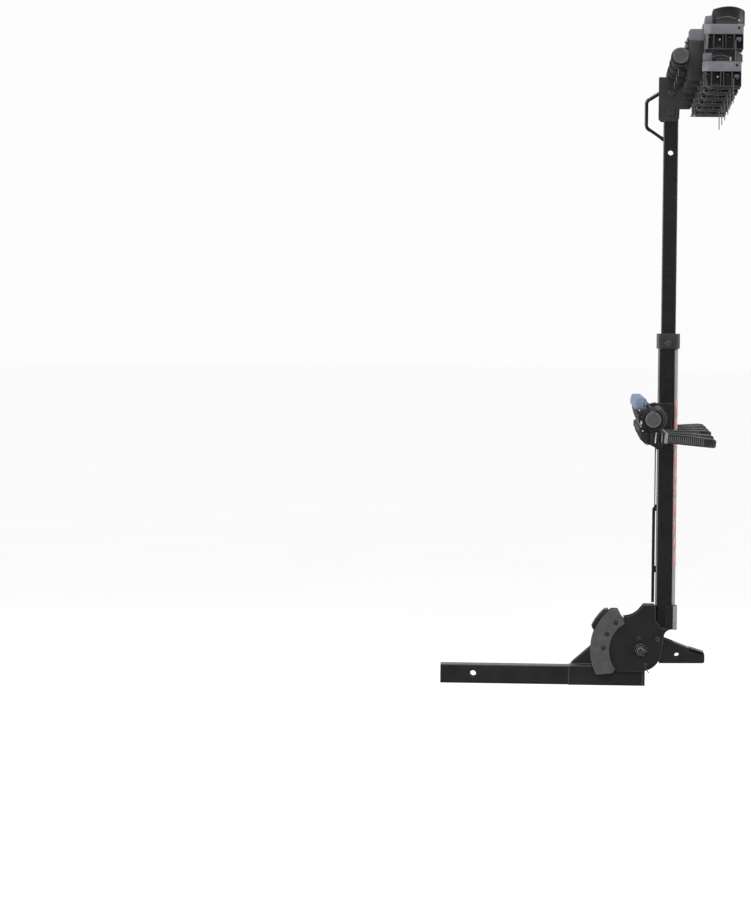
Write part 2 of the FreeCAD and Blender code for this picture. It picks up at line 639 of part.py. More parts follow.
def crown_cradle(label, y):
    """A spine on the upper bar with two stacked trays, each with ribbed sides and a strap anchor."""
    body = new_body(label, cell("top_bar_x"), str(y), cell("top_bar_z"))
    spine = new_sketch(body, "Spine", "XZ_Plane")
    outline(spine, [(20.5, -56), (52, -56), (57, -45), (57, 39), (60, 42), (60, 62), (54, 68),
                    (27, 68), (20.5, 61)])
    pad(body, spine, f"2 * {cell('spine_half')}", middle=True)
    trays = (("tray_high_z", 0), ("tray_low_z", size("tray_shift")))
    for low, shift in trays:
        plan = new_sketch(body, "TrayPlan", "XY_Plane", cell(low))
        outline(plan, tray_outline(shift))
        pad(body, plan, cell("tray_height"))
        anchor = new_sketch(body, "Anchor", "XZ_Plane")
        base = size(low) + size("tray_height")
        outline(anchor, [(57 - shift, base - 1), (77, base - 1), (77, base + size("anchor_height")),
                         (57 - shift, base + size("anchor_height"))])
        pad(body, anchor, f"2 * {cell('anchor_half')}", middle=True)
    bays = [(65, 75.5), (78.5, 99), (101.5, 106), (108.5, 125.5)]
    for side, flip, last in ((1, False, []), (-1, True, [(128.5, 148.5)])):
        openings = new_sketch(body, "Windows", "XZ_Plane", f"{side} * {cell('tray_half')}")
        for low, shift in trays:
            windows(openings, size(low), shift, bays + last)
        pocket(body, openings, cell("window_depth"), flip=flip)
    buckle = new_sketch(body, "BucklePockets", "XZ_Plane", cell("tray_half"))
    for low, shift in trays:
        base = size(low)
        outline(buckle, [(128.5 - shift, base + 4), (155, base + 4), (155, base + 34),
                         (128.5 - shift, base + 34)])
    pocket(body, buckle, cell("lever_pocket"))
    slots = new_sketch(body, "TailSlots", "XZ_Plane", cell("tray_half"))
    for low, shift in trays:
        base = size(low)
        outline(slots, [(128.5 - shift, base - 1), (132.6 - shift, base - 1),
                        (132.6 - shift, base + 5), (128.5 - shift, base + 5)])
    pocket(body, slots, cell("lever_pocket"))
    pins = new_sketch(body, "PinHoles", "XZ_Plane", cell("tray_half"))
    for low, shift in trays:
        circle(pins, cell("lever_pin_hole"), size("lever_pin_x") - shift,
               size("lever_pin_z") - size("tray_high_z") + size(low))
    pocket(body, pins, f"{cell('lever_pocket')} + 4")
    keep(label, body)


def cradle_lever(label, y, low, shift):
    """The release lever of one tray's buckle, with its hinge pin."""
    rise = f"{cell('top_bar_z')} + {cell(low)} - {cell('tray_high_z')}"
    body = new_body(label, f"{cell('top_bar_x')} - {shift}", str(y), rise)
    x = size("lever_pin_x")
    z = size("lever_pin_z")
    profile = new_sketch(body, "Profile", "XZ_Plane", cell("buckle_inner"))
    outline(profile, [(x - 2.5, z + 2.5), (x + 3, z + 2.5), (149, 38), (149, 32), (146, 31),
                      (x - 2.5, z - 4)])
    pad(body, profile, cell("cradle_lever_width"))
    pin = new_sketch(body, "Pin", "XZ_Plane", "31")
    circle(pin, cell("lever_pin"), x, z)
    pad(body, pin, "19.5")
    keep(label, body)


def cradle_straps():
    """Each tray's toothed strap: a loop over the slot and a loose tail through the buckle."""
    straps = []
    half = size("anchor_half")
    inner = half - size("strap_thick")
    bend = 156 - half
    loop_outline = [(77, -half), (bend, -half), ((156, 0), (bend, half)), (77, half), (77, inner),
                    (bend, inner), ((156 - size("strap_thick"), 0), (bend, -inner)), (77, -inner)]
    for number, y in enumerate(STATION_Y, start=1):
        for name, shift, low, tall, tail_low, tail_high in (
                ("upper", 0, 82, 40, -12, 50), ("lower", size("tray_shift"), -11, 26, -120, -41)):
            place = (cell("top_bar_x"), str(y), cell("top_bar_z"))
            loop = new_body(f"strap_loop_{name}_{number}", *place)
            plan = new_sketch(loop, "Plan", "XY_Plane", str(low))
            outline(plan, loop_outline)
            pad(loop, plan, str(tall))
            tail = new_body(f"strap_tail_{name}_{number}", *place)
            hang = new_sketch(tail, "Hang", "XZ_Plane", cell("buckle_inner"))
            left = 129.2 - shift
            right = left + size("tail_thick")
            outline(hang, [(left, tail_low), (right, tail_low), (right, tail_high), (left, tail_high)])
            pad(tail, hang, cell("tail_width"))
            straps += [loop, tail]
    group("cradle_straps", straps)


def cradle_clamps():
    """Bent saddles that draw each cradle's spine against the upper bar."""
    inner = size("saddle_inner")
    outer = inner + size("saddle_thick")
    flange = 20.5 - size("saddle_thick")
    clamps = []
    for number, y in enumerate(STATION_Y, start=1):
        body = new_body(f"cradle_clamp_{number}", cell("top_bar_x"), str(y), cell("top_bar_z"))
        profile = new_sketch(body, "Profile", "XZ_Plane")
        outline(profile, [(20.5, inner), (20.5, 47), (flange, 47), (flange, outer), (0, outer),
                          ((-outer, 0), (0, -outer)), (flange, -outer), (flange, -51), (20.5, -51),
                          (20.5, -inner), (0, -inner), ((-inner, 0), (0, inner))])
        pad(body, profile, f"2 * {cell('saddle_half')}", middle=True)
        clamps.append(body)
    group("cradle_clamps", clamps)
    knobs = []
    for number, y in enumerate(STATION_Y, start=1):
        face = size("top_bar_x") + flange
        for name, z, maker in (("knob", -38, cylinder), ("nut", 37, hexagon)):
            knobs.append(maker(f"cradle_{name}_{number}", cell(f"clamp_{name}_radius"),
                               cell(f"clamp_{name}_length"),
                               (face, y, size("top_bar_z") + z), (-1, 0, 0)))
    group("cradle_clamp_bolts", knobs)


def wheel_holder(label, y):
    """A clamp on the lower bar with lever ears, a toothed buckle body and a yoke for the strap."""
    body = new_body(label, cell("low_bar_x"), str(y), cell("low_bar_z"))
    ring = new_sketch(body, "Ring", "XZ_Plane")
    circle(ring, cell("ring_radius"))
    pad(body, ring, f"2 * {cell('ring_half')}", middle=True)
    case = new_sketch(body, "Case", "XZ_Plane")
    outline(case, [(-47, 22), (-38, -2), (-35, -31), (-33, -49), (-18, -62), (2, -67), (14, -76.5),
                   (23.5, -74.5), (25.5, -57), (27, -20), (0, 20), (-7, 30), (-8, 38), (-15, 40.5),
                   (-22, 38), (-25, 27), (-44, 27)])
    pad(body, case, f"2 * {cell('holder_half')}", middle=True)
    yoke = new_sketch(body, "Yoke", "XZ_Plane")
    outline(yoke, [(24, -60), (38, -60), (38, -30), (24, -30)])
    pad(body, yoke, f"2 * {cell('yoke_half')}", middle=True)
    bay = new_sketch(body, "LeverBay", "XZ_Plane")
    outline(bay, [(-60, 27), (4, 27), (4, 50), (-60, 50)])
    pocket(body, bay, f"2 * {cell('ear_gap')}", middle=True)
    bores = new_sketch(body, "Bores", "XZ_Plane")
    circle(bores, cell("holder_bore"))
    circle(bores, cell("wheel_pin_hole"), size("wheel_pin_x"), size("wheel_pin_z"))
    pocket(body, bores)
    knob_hole = new_sketch(body, "KnobHole", "YZ_Plane", "-52")
    circle(knob_hole, cell("knob_hole"), 0, -17)
    pocket(body, knob_hole, "27", flip=True)
    keep(label, body)


def wheel_lever(label, y):
    """The ratchet lever of one wheel strap, with its hinge pin."""
    body = new_body(label, cell("low_bar_x"), str(y), cell("low_bar_z"))
    x = size("wheel_pin_x")
    z = size("wheel_pin_z")
    blade = new_sketch(body, "Blade", "XZ_Plane")
    outline(blade, [(x, z - 5.4), (-49, 28.5), (-57, 50), (-53, 64), (-33, 65), (x + 3, z + 4.5)])
    pad(body, blade, f"2 * {cell('wheel_lever_half')}", middle=True)
    boss = new_sketch(body, "Boss", "XZ_Plane")
    circle(boss, "5.5", x, z)
    pad(body, boss, f"2 * {cell('wheel_lever_half')}", middle=True)
    pin = new_sketch(body, "Pin", "XZ_Plane")
    circle(pin, cell("wheel_pin"), x, z)
    pad(body, pin, f"2 * {cell('holder_half')}", middle=True)
    keep(label, body)


def wheel_straps():
    """Toothed wheel straps: a drooping loop behind the yoke and a band round the clamp ring."""
    half = size("loop_half")
    inner = half - size("strap_thick")
    end = size("loop_length")
    bend = end - half
    ring = size("ring_radius") + 0.3
    straps = []
    for number, y in enumerate(STATION_Y, start=1):
        loop = new_body(f"wheel_loop_{number}", f"{cell('low_bar_x')} + 38.3", str(y),
                        f"{cell('low_bar_z')} - 58")
        loop.Placement = Placement(V(0, 0, 0), Rotation(V(0, 1, 0), size("loop_droop")))
        plan = new_sketch(loop, "Plan", "XY_Plane")
        outline(plan, [(0, -half), (bend, -half), ((end, 0), (bend, half)), (0, half), (0, inner),
                       (bend, inner), ((end - size("strap_thick"), 0), (bend, -inner)), (0, -inner)])
        pad(loop, plan, cell("loop_height"))
        band = new_body(f"wheel_band_{number}", cell("low_bar_x"), str(y), cell("low_bar_z"))
        arc = new_sketch(band, "Arc", "XZ_Plane")
        outline(arc, [polar(ring, 78), (polar(ring, 24), polar(ring, -30)), polar(ring + 4, -30),
                      (polar(ring + 4, 24), polar(ring + 4, 78))])
        pad(band, arc, cell("band_width"), middle=True)
        straps += [loop, band]
    group("wheel_straps", straps)


def wheel_knobs():
    """Round clamp knobs on the vehicle side of the wheel holders."""
    knobs = []
    for number, y in enumerate(STATION_Y, start=1):
        spot = (size("low_bar_x") - 37.6, y, size("low_bar_z") - 17)
        head = cylinder(f"wheel_knob_head_{number}", cell("knob_radius"), cell("knob_length"),
                        spot, (-1, 0, 0))
        bolt = cylinder(f"wheel_knob_bolt_{number}", cell("knob_bolt"),
                        cell("knob_bolt_length"), spot, (1, 0, 0))
        knobs.append(joined(f"wheel_knob_{number}", [head, bolt]))
    group("wheel_knobs", knobs)


hitch_tube()
base_box()
base_end_cap()
index_plates()
arc_covers()
cover_screws()
pivot_bolt()
tilt_plates()
foot_pins()
foot_pedal()
mast_socket()
masts()
mast_collar()
front_rail()
round_bar("lower_crossbar", cell("low_bar_x"), cell("low_bar_z"))
bar_end_caps("lower_bar_end_caps", "low_bar_x", "low_bar_z")
lower_bar_bracket()
round_bar("upper_crossbar", cell("top_bar_x"), cell("top_bar_z"), sleeve=True)
bar_end_caps("upper_bar_end_caps", "top_bar_x", "top_bar_z")
head_plates()
grab_handle()
cradle_clamps()
cradle_straps()
wheel_straps()
wheel_knobs()
for station, station_y in enumerate(STATION_Y, start=1):
    crown_cradle(f"crown_cradle_{station}", station_y)
    cradle_lever(f"cradle_lever_upper_{station}", station_y, "tray_high_z", 0)
    cradle_lever(f"cradle_lever_lower_{station}", station_y, "tray_low_z", size("tray_shift"))
    wheel_holder(f"wheel_holder_{station}", station_y)
    wheel_lever(f"wheel_lever_{station}", station_y)
doc.recompute()

failed = [item.Label for item in doc.Objects if {"Invalid", "Error"} & set(item.State)]
assert not failed, f"objects that failed: {failed}"
for feature, before in cuts:
    assert feature.Shape.Volume < before.Shape.Volume - 1, f"{feature.Label} cuts nothing"
os.makedirs("parts", exist_ok=True)
for label, part in nodes.items():
    shape = part.Shape
    assert not shape.isNull() and shape.isValid(), f"{label} has no valid shape"
    shape.exportStep(f"parts/{label}.step")
    print(f"{label}: {len(shape.Solids)} solids, {shape.Volume / 1000:.1f} cm3")
print(f"{len(nodes)} nodes")
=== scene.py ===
"""Looks, light and camera of the hitch mounted bike rack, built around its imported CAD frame.

Lengths are metres in the CAD frame: +X rearward, +Y to the vehicle's right, +Z up. A Shape is drawn in
millimetres from its own origin. Angles are degrees.
"""
import math
import random

import bmesh
import bpy
from mathutils import Matrix, Vector


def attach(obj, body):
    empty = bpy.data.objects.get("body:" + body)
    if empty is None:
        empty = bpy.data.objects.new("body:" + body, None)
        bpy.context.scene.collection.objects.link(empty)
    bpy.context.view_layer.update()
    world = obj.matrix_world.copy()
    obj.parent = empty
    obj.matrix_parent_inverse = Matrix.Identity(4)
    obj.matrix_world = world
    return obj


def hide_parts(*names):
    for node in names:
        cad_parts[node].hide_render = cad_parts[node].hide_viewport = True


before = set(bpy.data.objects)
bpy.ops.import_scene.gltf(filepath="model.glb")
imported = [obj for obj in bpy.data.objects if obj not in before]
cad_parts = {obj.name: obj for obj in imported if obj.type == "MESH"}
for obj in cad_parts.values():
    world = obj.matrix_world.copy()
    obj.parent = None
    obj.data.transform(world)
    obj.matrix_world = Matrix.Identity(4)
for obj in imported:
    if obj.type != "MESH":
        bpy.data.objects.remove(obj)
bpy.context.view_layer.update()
scene = bpy.context.scene

MM = 0.001
TOP_BAR = Vector((0.509, 0.0, 1.568))
LOW_BAR = Vector((0.453, 0.0, 0.677))
PIVOT = Vector((0.436, 0.0, 0.067))
MAST_X = 0.4984
MAST_HALF = 25.4  # in millimetres
STATION_GAP = 0.23
STATIONS = [(number, (number - 3.5) * STATION_GAP) for number in range(1, 7)]
FLOOR_Z = -0.445
FLOOR_SIZE = 400.0
HANDLE_BAR = 5.0  # radius in millimetres
# Strength of the world: for soft light and for reflections, from low to high, and behind the object.
SKY_LOW, SKY_HIGH = 0.62, 1.02
GLOSS_LOW, GLOSS_HIGH = 0.10, 2.2
BACKDROP = 0.98
SHARP_ANGLE = math.radians(38)


# -------- materials

def link(tree, source, target):
    tree.links.new(source, target)


def node(tree, kind, **values):
    made = tree.nodes.new(kind)
    for name, value in values.items():
        if hasattr(made, name):
            setattr(made, name, value)
        else:
            made.inputs[name.replace("_", " ")].default_value = value
    return made


def noise(tree, coordinates, scale, detail=3.0):
    made = node(tree, "ShaderNodeTexNoise", Scale=scale, Detail=detail, Roughness=0.55)
    link(tree, coordinates, made.inputs["Vector"])
    return made.outputs["Fac"]


def spread(tree, value, low, high, out_low, out_high):
    made = node(tree, "ShaderNodeMapRange", From_Min=low, From_Max=high, To_Min=out_low,
                To_Max=out_high)
    link(tree, value, made.inputs["Value"])
    return made.outputs["Result"]


def edge_mask(tree, width, breakup):
    """Where the surface turns sharply within width, broken up by a noise: the mask for wear and a painted
    highlight on edges.
    """
    bevel = node(tree, "ShaderNodeBevel", samples=4, Radius=width)
    geometry = node(tree, "ShaderNodeNewGeometry")
    turn = node(tree, "ShaderNodeVectorMath", operation="DOT_PRODUCT")
    link(tree, bevel.outputs["Normal"], turn.inputs[0])
    link(tree, geometry.outputs["Normal"], turn.inputs[1])
    mask = spread(tree, turn.outputs["Value"], 0.995, 0.86, 0.0, 1.0)
    edge_wear_and_highlight = node(tree, "ShaderNodeMath", operation="MULTIPLY")
    link(tree, mask, edge_wear_and_highlight.inputs[0])
    link(tree, breakup, edge_wear_and_highlight.inputs[1])
    return edge_wear_and_highlight.outputs[0], bevel.outputs["Normal"]


def mixed(tree, factor, first, second):
    """A blend of colours or sockets; a colour of two values is a grey and its blue."""
    made = node(tree, "ShaderNodeMix", data_type="RGBA")
    link(tree, factor, made.inputs["Factor"])
    for socket, value in ((made.inputs[6], first), (made.inputs[7], second)):
        if isinstance(value, bpy.types.NodeSocket):
            link(tree, value, socket)
        else:
            socket.default_value = (value[0], value[-2], value[-1], 1.0)
    return made.outputs[2]


def material(name, dark, light, roughness, grain, depth, metallic=0.0, coat=0.0, edge=None,
             edge_width=0.0012, patch=22.0, streak=None):
    """A surface with colour patches, a fine grain in its relief, uneven roughness, and edges lightened
    towards an edge colour that is partly wear and partly a painted highlight.
    """
    made = bpy.data.materials.new(name)
    made.use_nodes = True
    tree = made.node_tree
    shader = tree.nodes["Principled BSDF"]
    shader.inputs["Metallic"].default_value = metallic
    shader.inputs["Coat Weight"].default_value = coat
    shader.inputs["Coat Roughness"].default_value = 0.12
    place = node(tree, "ShaderNodeTexCoord").outputs["Object"]
    if streak:
        stretch = node(tree, "ShaderNodeMapping", vector_type="POINT")
        stretch.inputs["Scale"].default_value = streak
        link(tree, place, stretch.inputs["Vector"])
        patches = noise(tree, stretch.outputs["Vector"], patch, 5.0)
    else:
        patches = noise(tree, place, patch, 5.0)
    colour = mixed(tree, spread(tree, patches, 0.32, 0.68, 0.0, 1.0), dark, light)
    fine = noise(tree, place, grain, 2.0)
    rough = spread(tree, noise(tree, place, patch * 3.1, 3.0), 0.3, 0.7, roughness * 0.82,
                   min(1.0, roughness * 1.18))
    bump = node(tree, "ShaderNodeBump", Strength=0.6, Distance=depth)
    link(tree, fine, bump.inputs["Height"])
    if edge:
        breakup = spread(tree, noise(tree, place, 130.0, 3.0), 0.35, 0.6, 0.35, 1.0)
        edge_wear_and_highlight, soft = edge_mask(tree, edge_width, breakup)
        # Sharp edges take the edge colour: partly wear, partly a painted highlight along the edges.
        colour = mixed(tree, edge_wear_and_highlight, colour, edge)
        link(tree, soft, bump.inputs["Normal"])
    link(tree, colour, shader.inputs["Base Color"])
    link(tree, rough, shader.inputs["Roughness"])
    link(tree, bump.outputs["Normal"], shader.inputs["Normal"])
    return made


gloss_black = material("gloss_black_coat", (0.0085, 0.0095), (0.0105, 0.0115), 0.26, 900.0, 0.000015,
                       coat=0.35, edge=(0.10, 0.105))
plate_black = material("plate_black_coat", (0.0065, 0.0072), (0.0110, 0.0118), 0.42, 1300.0, 0.00008,
                       coat=0.1, edge=(0.20, 0.205), edge_width=0.0014)
grey_coat = material("grey_satin_coat", (0.021, 0.0225), (0.030, 0.032), 0.48, 1400.0, 0.00010,
                     edge=(0.16, 0.165))
cover_grey = material("cover_grey_moulded", (0.040, 0.0415), (0.057, 0.059), 0.74, 1700.0, 0.00022,
                      edge=(0.15, 0.155), patch=60.0)
cap_grey = material("cap_grey_moulded", (0.045, 0.044, 0.050), (0.066, 0.065, 0.072), 0.68, 1500.0,
                    0.00030, edge=(0.24, 0.25), patch=85.0)
cradle_grey = material("cradle_grey_moulded", (0.118, 0.134), (0.160, 0.180), 0.58, 1600.0, 0.00012,
                       edge=(0.27, 0.30), patch=38.0)
# Near-black, darker than the rest of the moulding: painted shade in the windows and hollows of the trays.
cradle_shade_black = material("cradle_painted_shade", (0.0035, 0.004), (0.0075, 0.0085), 0.5, 1600.0, 0.00016,
                        edge=(0.03, 0.033))
cradle_rib = material("cradle_rib_moulded", (0.021, 0.023), (0.036, 0.039), 0.5, 1600.0, 0.00014,
                      edge=(0.12, 0.13))
spine_black = material("spine_black_moulded", (0.014, 0.015), (0.024, 0.026), 0.5, 1600.0, 0.00016,
                       edge=(0.08, 0.085))
moulded_black = material("black_moulded", (0.008, 0.009), (0.016, 0.018), 0.4, 1500.0, 0.00014,
                         edge=(0.10, 0.108))
knob_black = material("knob_black_moulded", (0.012, 0.013), (0.022, 0.024), 0.5, 1900.0, 0.00024,
                      edge=(0.12, 0.125), patch=70.0)
rubber = material("strap_rubber", (0.0095, 0.0105), (0.018, 0.020), 0.5, 2300.0, 0.00018,
                  edge=(0.075, 0.082), patch=60.0)
# Light grey, used for the buckle tabs and as a painted highlight on the strap tails' edges, the loops'
# sides and the wheel straps' ribs.
grey_rubber_and_highlight = material("grey_rubber_and_painted_highlight", (0.080, 0.086), (0.115, 0.122), 0.6, 2300.0, 0.00018,
                       edge=(0.17, 0.18), patch=60.0)
lever_blue = material("lever_blue_moulded", (0.115, 0.155, 0.225), (0.165, 0.215, 0.30), 0.5, 1200.0,
                      0.00012, edge=(0.42, 0.50, 0.62), patch=48.0, streak=(1.0, 1.0, 0.25))
lever_dark = material("lever_dark_moulded", (0.045, 0.070, 0.135), (0.068, 0.098, 0.175), 0.5, 1200.0,
                      0.00012, edge=(0.20, 0.25, 0.36), patch=48.0)
cradle_blue = material("cradle_lever_moulded", (0.050, 0.053, 0.098), (0.085, 0.089, 0.150), 0.5, 1400.0,
                       0.00012, edge=(0.13, 0.14, 0.20), patch=60.0)
bolt_steel = material("bolt_black_zinc", (0.085, 0.088), (0.19, 0.195), 0.34, 800.0, 0.00005,
                      metallic=0.85, edge=(0.5, 0.5), edge_width=0.0008, patch=120.0)
bright_steel = material("bright_zinc", (0.50, 0.50), (0.72, 0.71), 0.28, 700.0, 0.00004, metallic=0.3,
                        edge=(0.8, 0.8), edge_width=0.0006, patch=150.0)
brass = material("brass_insert", (0.34, 0.22, 0.06), (0.55, 0.38, 0.12), 0.3, 700.0, 0.00004,
                 metallic=1.0, edge=(0.7, 0.52, 0.2), edge_width=0.0006, patch=150.0)
strap_end_grey = material("strap_root_rubber", (0.19, 0.20), (0.26, 0.27), 0.55, 2000.0, 0.00016,
                          edge=(0.35, 0.36), patch=60.0)
# Light grey lines along the clamp's rims, fin and jaw: painted highlight.
rim_highlight_grey = material("rim_painted_highlight", (0.075, 0.08), (0.125, 0.13), 0.45, 1500.0, 0.00010,
                    edge=(0.2, 0.21), patch=60.0)
bolt_dark = material("bolt_dark_coat", (0.020, 0.021), (0.045, 0.047), 0.34, 900.0, 0.00005, metallic=0.3,
                     edge=(0.22, 0.22), edge_width=0.0008, patch=120.0)
weld = material("weld_coat", (0.008, 0.009), (0.02, 0.021), 0.32, 700.0, 0.00010, coat=0.2,
                edge=(0.08, 0.085))
reflector_red = material("reflector_red", (0.34, 0.135, 0.13), (0.44, 0.20, 0.19), 0.36, 420.0, 0.00035,
                         coat=0.5, edge=(0.75, 0.30, 0.28), patch=140.0)
# Pale streaked grey: painted reflection of light on the rounded rear corners of the mast and socket.
painted_reflection_strip = material("rear_strip_painted_reflection", (0.17, 0.172, 0.175), (0.25, 0.252, 0.256), 0.42, 900.0,
                        0.00006, edge=(0.5, 0.5), patch=40.0, streak=(1.0, 1.0, 0.1))


# -------- mesh tools

def arc(centre, radius, start, end, count=12):
    """Points along a circular arc."""
    angles = [math.radians(start + (end - start) * step / count) for step in range(count + 1)]
    return [(centre[0] + radius * math.cos(a), centre[1] + radius * math.sin(a)) for a in angles]


def rounded(corners, radius, count=4):
    """A closed outline with rounded corners; a third value on a corner is its own radius."""
    made = []
    for place, corner in enumerate(corners):
        here = Vector(corner[:2])
        before = Vector(corners[place - 1][:2]) - here
        after = Vector(corners[(place + 1) % len(corners)][:2]) - here
        bend = radius if len(corner) < 3 else corner[2]
        half = before.angle(after) / 2
        if bend <= 0 or half > math.radians(88):
            made.append(tuple(here))
            continue
        cut = min(bend / math.tan(half), 0.48 * before.length, 0.48 * after.length)
        bend = cut * math.tan(half)
        middle = here + (before.normalized() + after.normalized()).normalized() * bend / math.sin(half)
        start = here + before.normalized() * cut - middle
        turn = start.angle_signed(here + after.normalized() * cut - middle)
        for step in range(count + 1):
            spoke = start.copy()
            spoke.rotate(Matrix.Rotation(-turn * step / count, 2))
            made.append(tuple(middle + spoke))
    return made


def smooth_line(points, count=6):
    """Points of a smooth curve through the given ones."""
    made = []
    points = [Vector(p) for p in points]
    for k in range(len(points) - 1):
        before = points[max(k - 1, 0)]
        after = points[min(k + 2, len(points) - 1)]
        start, end = points[k], points[k + 1]
        for step in range(count):
            t = step / count
            made.append(0.5 * (2 * start + (end - before) * t
                               + (2 * before - 5 * start + 4 * end - after) * t * t
                               + (3 * start - before - 3 * end + after) * t ** 3))
    return made + [points[-1]]


def added(name, data):
    """A new object in the scene."""
    made = bpy.data.objects.new(name, data)
    scene.collection.objects.link(made)
    return made


LAYOUT = {"x": lambda a, b, h: (h, a, b), "y": lambda a, b, h: (a, h, b), "z": lambda a, b, h: (a, b, h)}


class Shape:
    """A mesh piece gathered from closed solids, drawn in millimetres from an origin in metres."""

    def __init__(self, origin=(0, 0, 0), turn=None):
        self.mesh = bmesh.new()
        self.origin = Vector(origin)
        self.turn = turn

    def take(self, part, bevel=0.0, segments=2):
        bmesh.ops.recalc_face_normals(part, faces=part.faces)
        if bevel:
            edges = [e for e in part.edges
                     if len(e.link_faces) == 2 and e.calc_face_angle(0) > SHARP_ANGLE]
            bmesh.ops.bevel(part, geom=edges, offset=bevel, segments=segments, profile=0.5,
                            affect="EDGES", clamp_overlap=True)
        held = bpy.data.meshes.new("held")
        part.to_mesh(held)
        part.free()
        self.mesh.from_mesh(held)
        bpy.data.meshes.remove(held)
        return self

    def prism(self, corners, low, high, axis="y", bevel=0.5, segments=2):
        """An outline drawn out along an axis, with its edges rounded."""
        part = bmesh.new()
        place = LAYOUT[axis]
        ends = [[part.verts.new(place(a, b, height)) for a, b in corners] for height in (low, high)]
        part.faces.new(ends[0])
        part.faces.new(list(reversed(ends[1])))
        for k in range(len(corners)):
            after = (k + 1) % len(corners)
            part.faces.new([ends[0][k], ends[1][k], ends[1][after], ends[0][after]])
        return self.take(part, bevel, segments)

    def block(self, low, high, bevel=0.5, segments=2):
        """A block with rounded edges, between two corners."""
        corners = [(low[0], low[2]), (high[0], low[2]), (high[0], high[2]), (low[0], high[2])]
        return self.prism(corners, low[1], high[1], "y", bevel, segments)

    def lathe(self, profile, centre=(0, 0, 0), axis="y", count=48, closed=False):
        """A profile of (radius, height) turned round an axis."""
        part = bmesh.new()
        rings = []
        for radius, height in profile:
            if radius < 1e-6:
                rings.append([part.verts.new(self.around(0, 0, height, centre, axis))])
                continue
            angles = [2 * math.pi * k / count for k in range(count)]
            rings.append([part.verts.new(self.around(radius * math.cos(a), radius * math.sin(a),
                                                     height, centre, axis)) for a in angles])
        pairs = list(zip(rings, rings[1:])) + ([(rings[-1], rings[0])] if closed else [])
        for one, other in pairs:
            for k in range(count):
                after = (k + 1) % count
                corners = [one[k % len(one)], one[after % len(one)], other[after % len(other)],
                           other[k % len(other)]]
                unique = list(dict.fromkeys(corners))
                if len(unique) > 2:
                    part.faces.new(unique)
        return self.take(part)

    @staticmethod
    def around(a, b, height, centre, axis):
        return Vector(LAYOUT[axis](a, b, height)) + Vector(centre)

    def loft(self, sections, closed=False):
        """Loops of points joined one to the next, with their ends closed."""
        part = bmesh.new()
        loops = [[part.verts.new(p) for p in section] for section in sections]
        count = len(loops[0])
        pairs = list(zip(loops, loops[1:])) + ([(loops[-1], loops[0])] if closed else [])
        for one, other in pairs:
            for k in range(count):
                after = (k + 1) % count
                part.faces.new([one[k], one[after], other[after], other[k]])
        if not closed:
            part.faces.new(loops[0])
            part.faces.new(list(reversed(loops[-1])))
        return self.take(part)

    def tube(self, points, radius, count=10, closed=False):
        """A round bar along a line of points; radius may be a function of the step."""
        points = [Vector(p) for p in points]
        last = len(points) - 1
        sections = []
        side = None
        for k, point in enumerate(points):
            before = points[k - 1] if k or closed else point
            after = points[(k + 1) % len(points)] if k < last or closed else point
            ahead = (after - before).normalized()
            if side is None:
                side = ahead.orthogonal().normalized()
            side = (side - ahead * side.dot(ahead)).normalized()
            up = ahead.cross(side)
            size = radius(k) if callable(radius) else radius
            sections.append([point + size * (side * math.cos(a) + up * math.sin(a))
                             for a in (2 * math.pi * j / count for j in range(count))])
        return self.loft(sections, closed)

    def ring(self, outer, inner, low, high, axis="z", bevel=0.3):
        """A closed wall between two outlines with the same number of points."""
        part = bmesh.new()
        place = LAYOUT[axis]
        loops = [[part.verts.new(place(a, b, height)) for a, b in corners]
                 for corners, height in ((outer, low), (outer, high), (inner, high), (inner, low))]
        for one, other in zip(loops, loops[1:] + loops[:1]):
            for k in range(len(outer)):
                after = (k + 1) % len(outer)
                part.faces.new([one[k], one[after], other[after], other[k]])
        return self.take(part, bevel)

    def weld_bead(self, points, width, seed, closed=False):
        """A rippled bead of weld along a line."""
        draw = random.Random(seed)
        swell = [width * (0.85 + 0.3 * abs(math.sin(k * 1.25)) + draw.uniform(-0.06, 0.06))
                 for k in range(len(points))]
        return self.tube(points, lambda k: swell[k], 8, closed)

    def ladder(self, path, low, tall, thick, web, rail, pitch, rib, start_flat=0.0, end_flat=0.0,
               nose=0.0, taper=0.0, dome=0.0, bulge=0.0):
        """A ribbed strap on edge: path is its inner line in plan, and its ribs face outward.

        Its height falls by taper towards the far end, where its corners are rounded by nose.
        A domed strap is highest at its middle, and a bulging one is longest at half its height.
        """
        first = min(point[0] for point in path)
        furthest = max(point[0] for point in path) + thick
        line = Line(path)
        stops = [0.0, start_flat - 0.01] if start_flat else [0.0]
        phase = [True] * len(stops)
        at = start_flat
        while at + pitch < line.length - end_flat:
            for step, raised in ((0.0, True), (0.35, False), (pitch - rib - 0.35, False),
                                 (pitch - rib, True)):
                stops.append(at + step)
                phase.append(raised)
            at += pitch
        stops += [at + 0.01, line.length]
        phase += [True, True]
        sections = []
        for stop, raised in zip(stops, phase):
            point, ahead = line.at(min(stop, line.length))
            away = Vector((ahead.y, -ahead.x))
            middle = thick * 0.93 if raised else web
            past = max(0.0, point.x + away.x * thick - (furthest - nose))
            cut = nose - math.sqrt(max(0.0, nose * nose - past * past))
            cut += taper * (point.x - first) / (furthest - first)
            loop = [(0, 0), (thick - 0.7, 0), (thick, 0.7), (thick, rail), (middle, rail + 0.4),
                    (middle, tall - rail - 0.4), (thick, tall - rail), (thick, tall - 0.7),
                    (thick - 0.7, tall), (0, tall)]
            squeeze = (tall - 2 * cut) / tall
            along = (point.x + away.x * thick - first) / (furthest - first)
            section = []
            for out, up in loop:
                level = 2 * up / tall - 1
                section.append((point.x + away.x * out - bulge * max(0.0, along) ** 2 * level ** 2,
                                point.y + away.y * out,
                                low + cut + up * squeeze
                                - dome * (2 * along - 1) ** 2 * max(0.0, level)))
            sections.append(section)
        return self.loft(sections)

